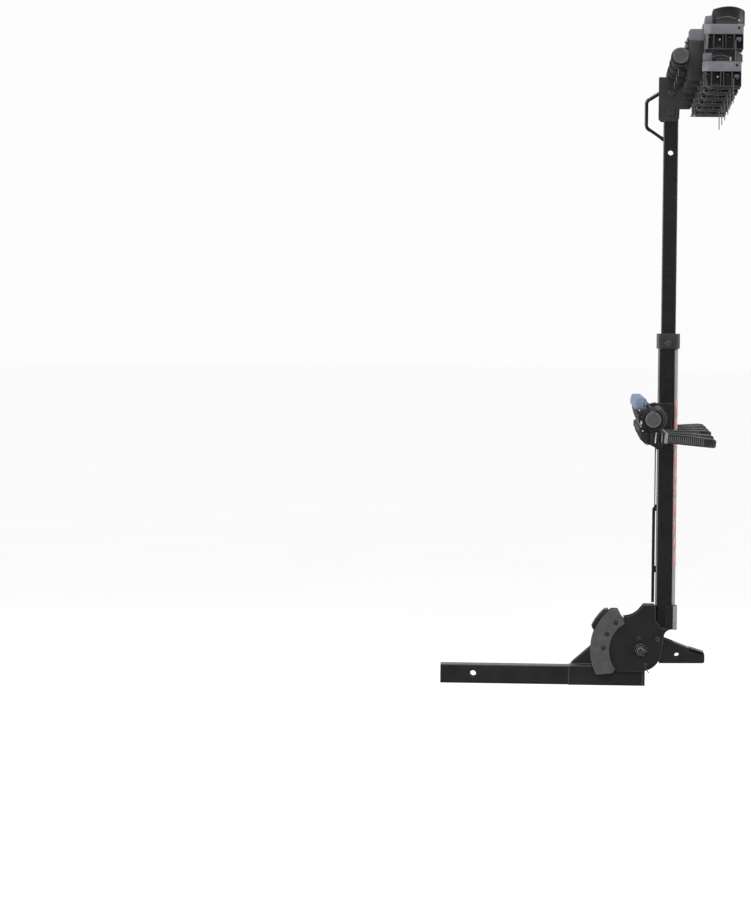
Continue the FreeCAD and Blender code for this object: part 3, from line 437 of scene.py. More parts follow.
    def piece(self, name, body, look, stands_for=()):
        """Closes the piece, puts it in place and sets what it rides on."""
        for edge in self.mesh.edges:
            sharp = len(edge.link_faces) == 2 and edge.calc_face_angle(0) > SHARP_ANGLE
            edge.smooth = not sharp
        for face in self.mesh.faces:
            face.smooth = True
        place = Matrix.Translation(self.origin) @ Matrix.Diagonal((MM, MM, MM, 1))
        if self.turn:
            place = self.turn @ place
        self.mesh.transform(place)
        data = bpy.data.meshes.new(name)
        self.mesh.to_mesh(data)
        self.mesh.free()
        made = added(name, data)
        data.materials.append(look)
        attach(made, body)
        if stands_for:
            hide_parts(*stands_for)
        return made


class Line:
    """A plan line that can be asked for the point and direction at a distance along it."""

    def __init__(self, points):
        self.points = [Vector(p) for p in points]
        self.marks = [0.0]
        for one, other in zip(self.points, self.points[1:]):
            self.marks.append(self.marks[-1] + (other - one).length)
        self.length = self.marks[-1]

    def at(self, distance):
        k = max(i for i, mark in enumerate(self.marks[:-1]) if mark <= distance + 1e-9)
        one, other = self.points[k], self.points[k + 1]
        share = (distance - self.marks[k]) / (other - one).length
        ahead = (other - one).normalized()
        if share < 0.5 and k:
            ahead = (ahead + (one - self.points[k - 1]).normalized()).normalized()
        elif share > 0.5 and k + 2 < len(self.points):
            ahead = (ahead + (self.points[k + 2] - other).normalized()).normalized()
        return one.lerp(other, share), ahead


def polar(radius, turn):
    return radius * math.cos(math.radians(turn)), radius * math.sin(math.radians(turn))


def hexagon(radius, centre, lean=0.0):
    return arc(centre, radius, lean, lean + 300, 5)


def lobed(radius, swell, lobes, count, height=0.0):
    """The outline of a lobed knob, of count points round its centre."""
    made = []
    for step in range(count):
        angle = 2 * math.pi * step / count
        reach = radius + swell * math.cos(lobes * angle)
        made.append((reach * math.cos(angle), height + reach * math.sin(angle)))
    return made


def studs(shape, places, side, face, chamfer, count):
    """Low round heads on one side of a wheel holder; places give x, z and radius."""
    for x, z, size in places:
        shape.lathe([(0, side * face), (size - chamfer, side * face), (size, side * (face - chamfer)),
                     (size, side * 17), (0, side * 17)], (x, 0, z), count=count)


# -------- crown cradles on the upper bar

# The height of each tray's low edge, and how far forward of the upper tray it stands.
TRAY_LOW = {"upper": (20, 0), "lower": (-71, 4)}
TRAY_END = 152.5
TRAY_FACE = 51.4  # the sides of ribs and end blocks, just inside the band
RIB_SPANS = [(78.5, 81.5), (101, 103.5), (108, 110.5), (128.5, 131.5)]
INSERT_X = (73, 120)
SPINE_HALF = 25.4
LEVER_SHIFT = 5  # how far rearward of their CAD nodes the buckle levers are drawn

# For each tray: the loop's low edge, height and far end; the painted highlight lines' base height,
# size and how far forward their rear ends stand; the pins' place and length; the tail's two ends and its
# drift.
STRAPS = {
    "upper": {"low": 74, "tall": 49, "end": 157, "base": 78, "size": 1.0, "back": 0.0,
              "pin": 142.4, "deep": 3.6, "tail": (-12, 38), "drift": 0.5},
    "lower": {"low": -15, "tall": 31, "end": 152, "base": -13, "size": 0.86, "back": 3.92,
              "pin": 122.3, "deep": 9.5, "tail": (-116, -54), "drift": 2.2},
}


def tray_outline(shift, inset=0.0):
    """Plan of a forked tray, or of the same tray drawn in by inset."""
    half = 52 - inset
    slot = 28 + min(inset, 3)
    end = TRAY_END - min(inset, 3)
    return [(x - shift, y) for x, y in
            [(57 + inset * 0.3, -(40 - inset)), (72, -half), (end, -half), (end, -slot), (100, -slot)]
            + arc((100, 0), slot, 270, 90, 16)[1:-1]
            + [(100, slot), (end, slot), (end, half), (72, half), (57 + inset * 0.3, 40 - inset)]]


def crown_station(number, y):
    """The spine and the two trays that hold a fork's crown."""
    origin = TOP_BAR + Vector((0, y, 0))
    body = "upper_mast"
    black = Shape(origin)
    grey = Shape(origin)
    spine = rounded([(20.5, -56), (52, -56), (57, -45), (57, 41), (20.5, 41)], 2.0)
    trunk = Shape(origin)
    trunk.prism(spine, -SPINE_HALF, SPINE_HALF, bevel=1.2)
    panel = rounded([(23.5, -52), (50, -52), (54, -43), (54, 38), (23.5, 38)], 2.5)
    top = rounded([(19.5, 40), (57, 39), (60, 42), (60, 62), (54, 68), (25, 68), (19.5, 63)], 4.0, 6)
    grey.prism(top, -26, 26, bevel=1.6, segments=3)
    bracket = rounded([(54.5, -6), (58.5, -12), (60.5, -30), (58, -47), (52.5, -52), (55.5, -44),
                       (57.2, -29), (56.0, -13)], 1.0)
    for side in (-1, 1):
        trunk.prism(panel, side * 25.0, side * 26.0, bevel=0.45)
        grey.prism(bracket, side * 24, side * 28.5, bevel=0.6)
    metal = Shape(origin)
    gold = Shape(origin)
    rib = Shape(origin)
    for name, (low, shift) in TRAY_LOW.items():
        outline = tray_outline(shift)
        grey.prism(outline, low + 34, low + 58, "z", bevel=1.3, segments=3)
        rib.ring(outline, tray_outline(shift, 3.0), low - 4, low - 1.8, bevel=0.5)
        # The core inside the ribs is near-black: painted shade in the windows between the ribs.
        black.prism(tray_outline(shift, 14.5), low - 1.2, low + 35, "z", bevel=0)
        corner = rounded([(60 - shift, low + 34.6), (68.5 - shift, low + 34.6), (65 - shift, low - 3.6),
                          (61 - shift, low - 3.6)], 0.5)
        for side in (-1, 1):
            (grey if name == "upper" else rib).prism(corner, side * 34, side * 45, bevel=0.6)
        for side in (-1, 1):
            for start, end in RIB_SPANS:
                rib.block((start - shift, side * 32, low - 3),
                          (end - shift, side * TRAY_FACE, low + 34.4), bevel=0.6)
            black.block((TRAY_END - 2.6 - shift, side * 29, low - 3),
                        (TRAY_END - shift, side * TRAY_FACE, low + 34.4), bevel=0.6)
            black.block((104 - shift, side * 30, low + 14), (124 - shift, side * 37.9, low + 17),
                        bevel=0.4)
            rib.block((79 - shift, side * 34, low - 2), (102 - shift, side * 38.6, low + 4), bevel=0.8)
            for x in INSERT_X:
                gold.block((x - 4.0 - shift, side * 37, low + 25.6),
                           (x + 3.0 - shift, side * 39.4, low + 27.6), bevel=0.4)
            metal.lathe([(0, side * 36), (2.2, side * 36), (2.2, side * 43.6), (1.7, side * 44.3),
                         (0, side * 44.5)], (95 - shift, 0, low + 21.0), count=20)
        clip = rounded([(60 - shift, low + 57), (57.5 - shift, low + 66), (59 - shift, low + 79),
                        (77, low + 81), (79, low + 57)], 2.5)
        grey.prism(clip, -34, 34, bevel=1.6, segments=3)
        # A dark disc on the side band stands for a hole: painted shade.
        black.lathe([(0, -52.6), (3.4, -52.6), (3.4, -51.2), (0, -51.2)], (141.5 - shift, 0, low + 49),
                    count=18)
    black.piece(f"crown_cradle_body_{number}", body, cradle_shade_black,
                [f"crown_cradle_{number}"])
    trunk.piece(f"crown_cradle_spine_{number}", body, spine_black)
    rib.piece(f"crown_cradle_ribs_{number}", body, cradle_rib)
    grey.piece(f"crown_cradle_bands_{number}", body, cradle_grey)
    metal.piece(f"crown_cradle_bolts_{number}", body, bright_steel)
    gold.piece(f"crown_cradle_inserts_{number}", body, brass)


def cradle_straps(number, y, first):
    """The strap loops and their loose tails of one station."""
    origin = TOP_BAR + Vector((0, y, 0))
    draw = random.Random(40 + number)
    loops = Shape(origin)
    tails = Shape(origin)
    highlight_lines = Shape(origin)
    pins = Shape(origin)
    for name, strap in STRAPS.items():
        low, tall, base, size = strap["low"], strap["tall"], strap["base"], strap["size"]
        bend = strap["end"] - 30
        path = [(77.5, -30), (bend, -30)] + arc((bend, 0), 30, 270, 450, 22)[1:] + [(77.5, 30)]
        loops.ladder(path, low, tall, 4.0, 3.7, 3.4, 5.0, 2.3, start_flat=12, end_flat=12, nose=3,
                     dome=8, bulge=5.5)
        rise = [(86, 12.5), (96, 16.5), (108, 18.8), (121, 18.0), (134, 13.6)]
        for side in (-1, 1):
            loops.block((76.5, side * 29, low + 4), (86, side * 35.2, low + tall - 12), bevel=1.0)
            face = side * 34.6
            # Light grey lines on the loops' sides stand for their lit top edges: painted highlight.
            highlight_lines.tube(smooth_line([(x * size + 12 * (1 - size), face, base + z * size)
                                    for x, z in rise]), 1.25, 8)
            highlight_lines.tube(smooth_line([(141.4 - strap["back"], face, base + 0.5), (147, face, base + 8),
                                    (153 - strap["back"], face, base + 16)]), 1.0, 8)
            pins.block((strap["pin"] - 2.4, side * 33.8, base + 12 - strap["deep"]),
                       (strap["pin"] + 1.6, side * 36.2, base + 12), bevel=0.7)
        tail_low, tail_high = strap["tail"]
        lean = draw.uniform(-0.8, 1.6)
        left = 127.3 + LEVER_SHIFT - TRAY_LOW[name][1]
        sections = []
        for k in range(41):
            share = k / 40
            z = tail_high - (tail_high - tail_low) * share
            notch = 0.55 if k % 2 else 0.0
            half = 1.35 if share < 0.97 else 0.8
            middle = left + 1.4 + lean * share ** 2 * strap["drift"]
            sections.append([(middle - half + notch, -51.0, z), (middle + half, -51.0, z),
                             (middle + half, -38.2, z), (middle - half + notch, -38.2, z)])
        tails.loft(sections)
    loops.piece(f"crown_strap_loops_{number}", "upper_mast", rubber,
                ["cradle_straps"] if first else [])
    highlight_lines.piece(f"crown_strap_highlight_lines_{number}", "upper_mast", grey_rubber_and_highlight)
    pins.piece(f"crown_strap_pins_{number}", "upper_mast", bright_steel)
    # The tails take a light grey: a painted highlight on their edges, seen edge-on.
    tails.piece(f"crown_strap_tails_{number}", "upper_mast", grey_rubber_and_highlight)


def cradle_levers(number, y):
    """The two buckle levers of one station."""
    for name, (low, shift) in TRAY_LOW.items():
        origin = TOP_BAR + Vector(((LEVER_SHIFT - shift) * MM, y, (low - 20) * MM))
        lever = Shape(origin)
        profile = rounded([(130, 46.3), (141.8, 46.3), (142.3, 41), (141.5, 35.5), (139.0, 35.5),
                           (137.5, 38.0), (130.3, 38.5)], 1.2)
        lever.prism(profile, -50.6, -36.0, bevel=0.8)
        for x in (132.2, 134.8, 137.4, 140.0):
            lever.block((x, -51.2, 39.5), (x + 1.3, -50.2, 45), bevel=0.35)
        node_name = f"cradle_lever_{name}_{number}"
        lever.piece(f"buckle_lever_{name}_{number}", node_name, cradle_blue, [node_name])
        tab = Shape(origin)
        tab.block((136.2, -50, 33), (137.8, -38, 36.2), bevel=0.5)
        tab.lathe([(0, -51.4), (1.5, -51.4), (1.5, -34), (0, -34)], (136.5, 0, 44.5), count=20)
        tab.piece(f"buckle_tab_{name}_{number}", node_name, grey_rubber_and_highlight)


def cradle_clamps():
    """Lobed knobs and flanged nuts on the front of the saddles."""
    for number, y in STATIONS:
        origin = TOP_BAR + Vector((0, y, 0))
        knob = Shape(origin)
        knob.prism(lobed(11.2, 1.3, 6, 60, -38), -4.6, 10, "x", bevel=1.4, segments=3)
        knob.lathe([(0, 17), (6.5, 17), (7.5, 16), (7.5, 9), (0, 9)], (0, 0, -38), "x", 28)
        knob.lathe([(0, -5.4), (5.5, -5.4), (6.2, -4.6), (0, -4.2)], (0, 0, -38), "x", 28)
        knob.piece(f"clamp_knob_{number}", "upper_mast", knob_black,
                   ["cradle_clamp_bolts"] if number == 1 else [])
        nut = Shape(origin)
        nut.prism(hexagon(6.0, (0, 37)), 11.9, 15.6, "x", bevel=0.5)
        nut.lathe([(0, 15.4), (7.2, 15.4), (7.2, 16.9), (0, 16.9)], (0, 0, 37), "x", 28)
        nut.lathe([(0, 10.2), (2.4, 10.2), (2.9, 10.8), (2.9, 12.2), (0, 12.2)], (0, 0, 37), "x", 20)
        nut.piece(f"clamp_nut_{number}", "upper_mast", bolt_steel)


# -------- wheel holders on the lower bar

# How far each wheel strap hangs down at its free end, in degrees.
DROOP = {1: 6.0, 2: 3.5, 3: -0.5, 4: -1.5, 5: -3.0, 6: -3.5}
KNOB_DROP = -28  # height of the clamp knobs, from the bar's middle


def clamp_rim(angle):
    """Radius of the clamp's side at an angle: open over the top, where the strap runs in."""
    marks = [(-200, 23), (-160, 23), (-110, 27), (-75, 33), (55, 33), (62, 29), (75, 22.6), (95, 20.8),
             (118, 21.5), (135, 23), (160, 23)]
    for (one, low), (other, high) in zip(marks, marks[1:]):
        if one <= angle <= other:
            share = (angle - one) / (other - one)
            return low + (high - low) * share * share * (3 - 2 * share)
    return 23


def wheel_station(number, y, first):
    """One wheel holder, clamped round the lower bar, with its strap, knob and lever."""
    origin = LOW_BAR + Vector((0, y, 0))
    body = "lower_mast"
    case = Shape(origin)
    rim_highlight = Shape(origin)
    turns = [-200 + 360 * k / 96 for k in range(96)]
    outer = [polar(clamp_rim(turn), turn) for turn in turns]
    inner = [polar(19.3, turn) for turn in turns]
    case.ring(outer, inner, -21.6, 21.6, "y", bevel=0.8)
    # Light grey tubes along the rims and along the fin's and jaw's edges: painted highlight.
    rim = [polar(clamp_rim(turn) - 0.9, turn) for turn in range(-60, 124, 3)]
    for side in (-1, 1):
        rim_highlight.tube([(x, side * 21.6, z) for x, z in rim], 0.6, 8)
        case.lathe([(23.8, side * 21), (27.0, side * 21), (27.0, side * 22.6), (24.4, side * 23.0),
                    (23.8, side * 22.4)], count=64, closed=True)
        cheek = rounded([(-41, 22), (-41.5, 15), (-36, -4), (-31, -15), (-34, -35), (-32, -48),
                         (-18, -61), (-9, -63), (-9, -30), (-21, -24), (-27.5, -15), (-31, -6),
                         (-25, 6), (-19, 14), (-8, 20), (-5, 26), (-8, 31), (-13, 31), (-17, 26),
                         (-25, 24.5), (-39, 24.5)], 1.6)
        case.prism(cheek, side * 14.5, side * 18.2, bevel=0.9)
        shin = rounded([(-6, -34), (20, -28), (24.5, -57), (23, -73), (16, -76), (2, -67), (-6, -63)],
                       2.0)
        case.prism(shin, side * 13.5, side * 17.6, bevel=0.9)
        for x, foot in ((-31, -46), (-24.5, -53), (-17, -58), (-3, -61), (13, -66)):
            case.block((x, side * 17, foot), (x + 1.8, side * 19.6, -33), bevel=0.5)
        studs(case, ((-36, 10, 2.0), (-30, 15, 2.4), (-28, 6, 2.0), (-24, -40, 1.6), (19, -60, 2.4)),
              side, 19.2, 0.5, 18)
        rim_highlight.prism(rounded([(-40.5, 16), (-35.4, -3), (-34.2, -3), (-39.1, 16)], 0.5), side * 18,
                  side * 18.9, bevel=0.3)
    core = rounded([(-32, -28), (-30.5, -47), (-18, -59), (2, -65.5), (14, -75), (22, -72), (23, -57),
                    (24, -24), (-24, -20)], 2.0)
    case.prism(core, -14.8, 14.8, bevel=0.8)
    jaw = rounded([(-39.5, 20), (-39.5, 14), (-35, -4), (-31, -14), (-28.5, -13), (-32, -3), (-27, 10),
                   (-22, 16)], 1.0)
    case.prism(jaw, -14.8, 14.8, bevel=0.8)
    case.block((22, -36, -60), (31, 36, -30), bevel=2.0, segments=3)
    x, z = 20.7, 28.4
    fin = rounded([(x, z), (x - 4.0, z + 0.6), (x - 15, z - 9.5), (x - 13, z - 14), (x - 4, z - 10)], 1.2)
    case.prism(fin, -12, 12, bevel=0.8)
    for side in (-1, 1):
        rim_highlight.tube(smooth_line([(x - 12, side * 12.2, z - 9.5), (x - 6, side * 12.2, z - 4.2),
                              (x - 1.6, side * 12.2, z - 1.0), (x - 3.4, side * 12.2, z - 7.4)]),
                 0.5, 8)
    case.lathe([(0, -19.4), (3.4, -19.4), (4.2, -18.6), (4.2, 18.6), (3.4, 19.4), (0, 19.4)],
               (-15, 0, 33), count=28)
    case.piece(f"wheel_holder_case_{number}", body, moulded_black,
               [f"wheel_holder_{number}"])
    rim_highlight.piece(f"wheel_holder_rim_highlight_{number}", body, rim_highlight_grey)
    clip = Shape(origin)
    for side in (-1, 1):
        clip.prism(rounded([(4.4, -58), (7.4, -58), (10.0, -31), (7.4, -31)], 1.0), side * 17.4,
                   side * 19.9, bevel=0.4)
        for z in (-56, -51, -46, -41, -36):
            clip.block((21.0, side * 35.6, z), (23.0, side * 36.9, z + 2.6), bevel=0.5)
        studs(clip, ((-28.6, -6.6, 2.4), (-28.4, -10.6, 2.2), (-29, -17, 1.4), (-25, -28, 1.9),
                     (-33.8, 21.8, 1.9)), side, 19.8, 0.6, 20)
        clip.block((-15.5, side * 17.0, -65), (-13.4, side * 19.2, -60), bevel=0.5)
    clip.piece(f"wheel_holder_clip_{number}", body, bright_steel)
    wheel_strap(number, origin, body, first)
    wheel_knob(number, origin, body, first)
    wheel_lever(number, origin)


def wheel_strap(number, origin, body, first):
    """The toothed loop round a tyre, drooping from its hinge, and the band round the clamp."""
    hinge = origin + Vector((38.3, 0, -45)) * MM
    turn = (Matrix.Translation(hinge) @ Matrix.Rotation(math.radians(DROOP[number]), 4, "Y")
            @ Matrix.Translation(-hinge))
    loop = Shape(origin, turn)
    end = 38.3 + 114
    bends = rounded([(34, -34), (end, -34), (end, 34), (34, 34)], 17, 10)
    path = [(34, -34)] + [point for point in bends if point[0] > 46] + [(34, 34)]
    loop.ladder(path, -58, 24.0, 4.0, 2.0, 3.2, 4.9, 2.2, start_flat=7, end_flat=7, nose=6, taper=1.4)
    loop.piece(f"wheel_strap_{number}", body, rubber,
               ["wheel_straps"] if first else [])
    ends = Shape(origin, turn)
    rib_highlights = Shape(origin, turn)
    for side in (-1, 1):
        ends.block((28.5, side * 33, -58.5), (36.5, side * 39.2, -33.5), bevel=1.3, segments=3)
        # Light grey blocks on the ribs, dots along the top and a streak on the top rail: painted
        # highlight where light falls on the strap.
        for k in range(18):
            x = 39.5 + 4.9 * k
            low = -55.0 + 0.1 * k
            rib_highlights.block((x, side * 36, low), (x + 1.9, side * 38.5, low + 16.4), bevel=0.35)
            rib_highlights.block((x, side * 35, -35.6), (x + 2.4, side * 37.6, -33.6 - 0.03 * k), bevel=0.4)
        rib_highlights.block((100, side * 34.4, -36.0), (143, side * 37.0, -34.2), bevel=0.7)
    ends.piece(f"wheel_strap_end_{number}", body, strap_end_grey)
    rib_highlights.piece(f"wheel_strap_rib_highlights_{number}", body, grey_rubber_and_highlight)
    band = Shape(origin)
    line = Line(arc((0, 0), 33.2, -28, 56, 22))
    pitch = 4.4
    teeth = int(line.length / pitch)
    plan = []
    for k in range(teeth):
        for step, out in ((0.0, 3.4), (1.7, 3.4), (2.1, 2.0), (4.0, 2.0)):
            point, ahead = line.at(min(k * pitch + step, line.length))
            plan.append((point.x + ahead.y * out, point.y - ahead.x * out))
    back = [tuple(line.at(line.length * (1 - k / 24))[0]) for k in range(25)]
    band.prism(plan + back, -12, 12, bevel=0)
    hook = rounded([polar(34.6, 58), polar(37.4, 52), polar(36.0, 46), polar(33.4, 47)], 1.0)
    band.prism(hook, -12.4, 12.4, bevel=0.6)
    band.piece(f"wheel_strap_band_{number}", body, rubber)


def wheel_knob(number, origin, body, first):
    """The lobed clamp knob on the front of a holder."""
    knob = Shape(origin + Vector((0, 0, KNOB_DROP * MM)))
    knob.prism(lobed(8.7, 0.6, 8, 72), -36.6, -29.5, "x", bevel=1.6, segments=3)
    knob.lathe([(0, -37.2), (5.5, -37.2), (6.5, -36.4), (0, -36.0)], (0, 0, 0), "x", 32)
    knob.lathe([(0, -33), (7, -33), (7, -26), (0, -26)], (0, 0, 0), "x", 32)
    knob.piece(f"wheel_knob_{number}", body, knob_black,
               ["wheel_knobs"] if first else [])


def wheel_lever(number, origin):
    """The ratchet lever on top of a holder."""
    body = f"wheel_lever_{number}"
    blade = Shape(origin)
    outline = rounded([(-15.4, 25.2), (-46.5, 25.2, 2), (-46.4, 39, 4), (-43.0, 50.0, 3), (-39.0, 52.5),
                       (-20.0, 52.5, 2), (-15.4, 47.5, 2)], 1.5)
    blade.prism(outline, -13.6, 13.6, bevel=1.5, segments=3)
    for side in (-1, 1):
        inner = rounded([(-26, 28), (-43.5, 28), (-43.0, 38), (-40.8, 46), (-26, 45)], 2.0)
        blade.prism(inner, side * 13.2, side * 14.2, bevel=0.4)
        blade.block((-19.4, side * 12.4, 26.5), (-16.4, side * 14.4, 41), bevel=0.6)
    blade.piece(f"ratchet_blade_{number}", body, lever_blue, [body])
    hinge = Shape(origin)
    root = rounded([(-18, 25.6), (-9, 25.6), (-4.5, 29, 2), (-8, 38), (-13, 42.5), (-18, 42.5)], 1.2)
    for side in (-1, 1):
        hinge.block((-24.2, side * 12.8, 27), (-20.6, side * 14.0, 43), bevel=0.5)
    hinge.prism(root, -12.9, 12.9, bevel=1.0)
    hinge.lathe([(0, -14), (5.3, -14), (5.3, 14), (0, 14)], (-15, 0, 33), count=32)
    hinge.piece(f"ratchet_hinge_{number}", body, lever_dark)


# -------- masts, foot and base

def reflectors():
    """Plain red reflective blocks down the rear of the lower mast, over a pale strip that is a painted
    reflection of light on the mast's rear corners.
    """
    corner = 8.0
    flat = MAST_HALF - corner

    def wrap(gap, thick, reach):
        """Plan of a thin shell round the mast's two rear corners."""
        outer = []
        inner = []
        for side in (-1, 1):
            angles = range(int(90 - reach), 91, 10) if side < 0 else range(90, int(89 - reach), -10)
            for angle in angles:
                spin = math.radians(90 - angle)
                for target, radius in ((outer, corner + gap + thick), (inner, corner + gap)):
                    target.append((flat + radius * math.cos(spin),
                                   side * (flat + radius * math.sin(spin))))
        return outer + inner[::-1]

    origin = Vector((MAST_X, 0, 0))
    # A thin pale shell round the rear corners: painted reflection.
    reflection_strip = Shape(origin)
    reflection_strip.prism(wrap(0.02, 0.35, 90), 186, 850, "z", bevel=0)
    reflection_strip.piece("rear_painted_reflection", "lower_mast", painted_reflection_strip)
    blocks = Shape(origin)
    z = 286.0
    draw = random.Random(7)
    while z < 700:
        tall = draw.choice((30, 36, 42))
        blocks.prism(wrap(0.3, 0.5, 80), z, z + tall, "z", bevel=0.2)
        z += tall + 9
    socket_reflection_strip = Shape(origin)
    for side in (-1, 1):
        # Pale strips on the socket's rear corners: painted reflection.
        socket_reflection_strip.block((20.6, side * 30.6, 122), (31.2, side * 31.4, 183.4), bevel=0.1)
        blocks.block((20.8, side * 31.0, 147), (31.0, side * 31.8, 152), bevel=0.1)
    socket_reflection_strip.piece("socket_painted_reflection", "lower_mast", painted_reflection_strip)
    blocks.piece("rear_reflectors", "lower_mast", reflector_red)


def end_caps():
    """The caps at both ends of the two crossbars."""
    for label, centre, body in (("upper", TOP_BAR, "upper_mast"), ("lower", LOW_BAR, "lower_mast")):
        caps = Shape(centre)
        for side in (-1, 1):
            caps.lathe([(0, side * 644.6), (15.4, side * 644.6), (16.0, side * 644.1),
                        (16.6, side * 644.6), (17.9, side * 645), (18.9, side * 644.2),
                        (19.2, side * 642.8), (19.2, side * 639.4), (16.0, side * 639.4),
                        (16.0, side * 632), (0, side * 632)], count=64)
        caps.piece(f"{label}_bar_caps", body, cap_grey, [f"{label}_bar_end_caps"])


def pivot_hardware():
    """The washer, nut and thread's end on each side of the pivot."""
    bolt = Shape(PIVOT)
    for side in (-1, 1):
        bolt.lathe([(0, side * 39.6), (17.5, side * 39.6), (17.5, side * 41.6), (16.7, side * 42.3),
                    (0, side * 42.3)])
        bolt.prism(hexagon(14.6, (0, 0), 12), side * 42.2, side * 50.4, bevel=1.0)
        bolt.lathe([(0, side * 50.2), (9.5, side * 50.2), (8.6, side * 51.4), (0, side * 51.4)], count=36)
        bolt.lathe([(0, side * 51.2), (6.0, side * 51.2), (5.2, side * 53.0), (0, side * 53.2)], count=32)
    bolt.piece("pivot_nuts", "base", bolt_steel)


def index_discs():
    """The fixed notched discs at the sides, and the gusset that stands on the box between them."""
    steel = Shape(PIVOT)
    rim = 125
    plan = ([(-112, -38), (-30, -38)] + arc((0, 0), 34, -120, 100, 44)
            + arc((0, 0), rim, 122, 176, 24))
    gusset = rounded([(-183, -37.2), (-60, -37.2), (-60, 20), (-118, 20)], 2.0)
    for side in (-1, 1):
        steel.prism(plan, side * 27, side * 33, bevel=0.7)
        steel.prism(gusset, side * 18, side * 24, bevel=0.8)
    bridge = ([polar(106, 130), polar(138, 129)] + arc((0, 0), 143, 132, 154, 8)
              + [polar(135, 157), polar(106, 156)])
    steel.prism(bridge, -27, 27, bevel=1.2, segments=3)
    steel.piece("index_discs", "base", plate_black, ["index_plates"])
    beads = Shape(PIVOT)
    for side in (-1, 1):
        for y in (17.4, 24.6):
            beads.weld_bead([(-182 + 2.0 * k, side * y, -37.4) for k in range(56)], 1.3, 5 + int(y))
    beads.piece("gusset_welds", "base", weld)


def pedal_tread():
    """Teeth across the rear end of the foot pedal."""
    tread = Shape(PIVOT)
    teeth = []
    for k in range(7):
        x = 126 + 5.6 * k
        top = 7.8 - 0.325 * 5.6 * k
        teeth += [(x, top - 1.4), (x + 1.0, top + 1.8), (x + 3.4, top + 1.0), (x + 4.2, top - 2.6)]
    tread.prism(teeth + [(163, -9), (126, 2)], -32.6, 32.6, bevel=0.3)
    tread.piece("pedal_tread", "pedal", plate_black)


def foot_details():
    """The clip wire of the foot's pin, and the weld round the stinger."""
    wire = Shape(PIVOT)
    wire.tube(smooth_line([(12, -41.0, -40), (14, -41.2, -46), (17.5, -41.2, -52), (22.5, -41.2, -58)]),
              1.1, 10)
    wire.tube(smooth_line([(12, -41.0, -40), (9, -41.4, -36), (12, -41.6, -33), (15.5, -41.4, -36)]),
              1.1, 10)
    wire.piece("clip_wire", "lower_mast", bolt_steel)
    beads = Shape()
    half = 25.8
    square = rounded([(-half, -half), (half, -half), (half, half), (-half, half)], 6, 6)
    ring = [(251, y, z) for y, z in square]
    dense = []
    for one, other in zip(ring, ring[1:] + ring[:1]):
        steps = max(1, int((Vector(other) - Vector(one)).length / 2))
        dense += [Vector(one).lerp(Vector(other), k / steps) for k in range(steps)]
    beads.weld_bead(dense, 1.5, 3, closed=True)
    beads.piece("stinger_weld", "base", weld)


def handle_foot():
    """The welded foot that joins the grab handle's lower end to the upper mast."""
    foot = Shape()
    foot.tube([(472.5, 0, 1401.5), (481.0, 0, 1395.8)], HANDLE_BAR, 28)
    foot.piece("handle_foot", "upper_mast", gloss_black)


# -------- CAD nodes that stay, with their looks

LOOKS = {
    "hitch_tube": plate_black, "base_box": plate_black, "base_end_cap": moulded_black,
    "arc_covers": cover_grey, "cover_screws": bolt_dark,
    "pivot_bolt": bolt_steel, "tilt_plate_left": plate_black, "tilt_plate_right": plate_black,
    "foot_pins": bolt_dark, "foot_pedal": plate_black, "mast_socket": gloss_black,
    "lower_mast_tube": gloss_black, "mast_collar": grey_coat, "collar_bolt": bolt_steel,
    "front_rail": gloss_black, "lower_crossbar": gloss_black, "lower_bar_bracket": plate_black,
    "upper_mast_tube": gloss_black, "upper_crossbar": gloss_black, "head_plates": grey_coat,
    "head_bolts": bolt_steel, "grab_handle": gloss_black, "cradle_clamps": grey_coat,
}
for label, look in LOOKS.items():
    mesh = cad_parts[label].data
    mesh.materials.clear()
    mesh.materials.append(look)

for number, y in STATIONS:
    crown_station(number, y)
    cradle_straps(number, y, number == 1)
    cradle_levers(number, y)
    wheel_station(number, y, number == 1)
cradle_clamps()
end_caps()
reflectors()
pivot_hardware()
index_discs()
pedal_tread()
foot_details()
handle_foot()


# -------- floor, light and camera

def stage_plane(name, size, height, look):
    """A level plane that belongs to the picture and not to the part."""
    grid = bmesh.new()
    bmesh.ops.create_grid(grid, x_segments=8, y_segments=8, size=size)
    bmesh.ops.translate(grid, verts=grid.verts, vec=(0, 0, height))
    data = bpy.data.meshes.new(name)
    grid.to_mesh(data)
    grid.free()
    data.materials.append(look)
    made = added(name, data)
    return made


floor_look = material("floor_pale", (0.93, 0.93, 0.93), (0.95, 0.95, 0.95), 0.9, 60.0, 0.0002,
                      patch=0.6)
floor = stage_plane("floor", FLOOR_SIZE, FLOOR_Z, floor_look)
floor.visible_glossy = False


def area_light(name, place, aim, size, power):
    data = bpy.data.lights.new(name, "AREA")
    data.shape = "RECTANGLE"
    data.size, data.size_y = size
    data.energy = power
    made = added(name, data)
    made.location = place
    made.rotation_mode = "QUATERNION"
    made.rotation_quaternion = (Vector(aim) - Vector(place)).to_track_quat("-Z", "Y")


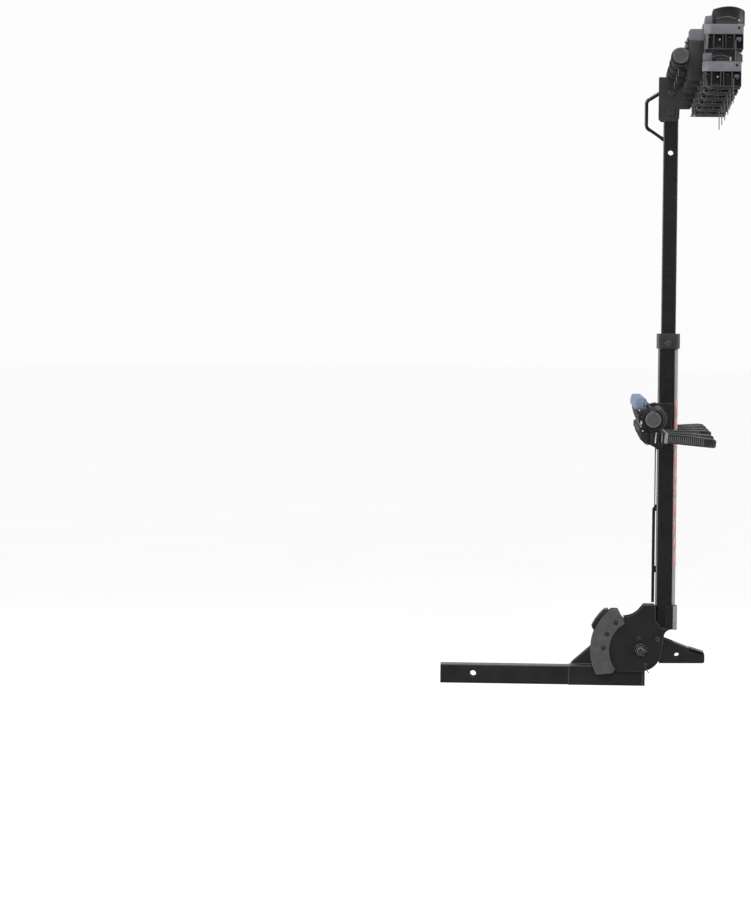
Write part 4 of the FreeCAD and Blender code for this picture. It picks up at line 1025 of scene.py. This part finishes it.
CENTRE = (0.4, 0.0, 0.8)
area_light("overhead", (0.3, 0.4, 5.2), CENTRE, (3.4, 3.4), 150)
area_light("rear_strip", (5.0, -0.6, 1.5), CENTRE, (1.2, 4.0), 95)
area_light("front_strip", (-3.1, 0.4, 1.6), CENTRE, (3.4, 4.4), 170)
area_light("key", (-3.4, -5.6, 4.6), CENTRE, (1.8, 1.8), 45)

world = bpy.data.worlds.new("studio")
scene.world = world
world.use_nodes = True
sky = world.node_tree
background = sky.nodes["Background"]
background.inputs["Color"].default_value = (1.0, 1.0, 1.0, 1.0)
direction = node(sky, "ShaderNodeTexCoord")
split = node(sky, "ShaderNodeSeparateXYZ")
link(sky, direction.outputs["Generated"], split.inputs[0])
soft_height = spread(sky, split.outputs["Z"], -0.2, 0.6, SKY_LOW, SKY_HIGH)
gloss_height = spread(sky, split.outputs["Z"], 0.05, 0.9, GLOSS_LOW, GLOSS_HIGH)
path = node(sky, "ShaderNodeLightPath")
glossy = node(sky, "ShaderNodeMix", data_type="FLOAT")
link(sky, path.outputs["Is Glossy Ray"], glossy.inputs["Factor"])
link(sky, soft_height, glossy.inputs[2])
link(sky, gloss_height, glossy.inputs[3])
seen = node(sky, "ShaderNodeMix", data_type="FLOAT")
link(sky, path.outputs["Is Camera Ray"], seen.inputs["Factor"])
link(sky, glossy.outputs[0], seen.inputs[2])
seen.inputs[3].default_value = BACKDROP
link(sky, seen.outputs[0], background.inputs["Strength"])

view = scene.view_settings
view.view_transform = "Standard"
view.look = "None"

CAMERA_PLACE = Vector((0.31, -10.5, 0.833))
CAMERA_AIM = Vector((-0.262, 0.0, 0.5797))
CAMERA_ROLL = 0.62
CAMERA_LENS = 160.8
camera_data = bpy.data.cameras.new("camera")
camera_data.sensor_width = 36.0
camera_data.lens = CAMERA_LENS
camera_data.clip_end = 1000.0
camera = added("camera", camera_data)
camera.location = CAMERA_PLACE
ahead = (CAMERA_AIM - CAMERA_PLACE).normalized()
right = ahead.cross(Vector((0, 0, 1))).normalized()
up = right.cross(ahead)
roll = math.radians(CAMERA_ROLL)
tilted_right = right * math.cos(roll) + up * math.sin(roll)
tilted_up = up * math.cos(roll) - right * math.sin(roll)
camera.rotation_mode = "QUATERNION"
camera.rotation_quaternion = Matrix((tilted_right, tilted_up, -ahead)).transposed().to_quaternion()
scene.camera = camera
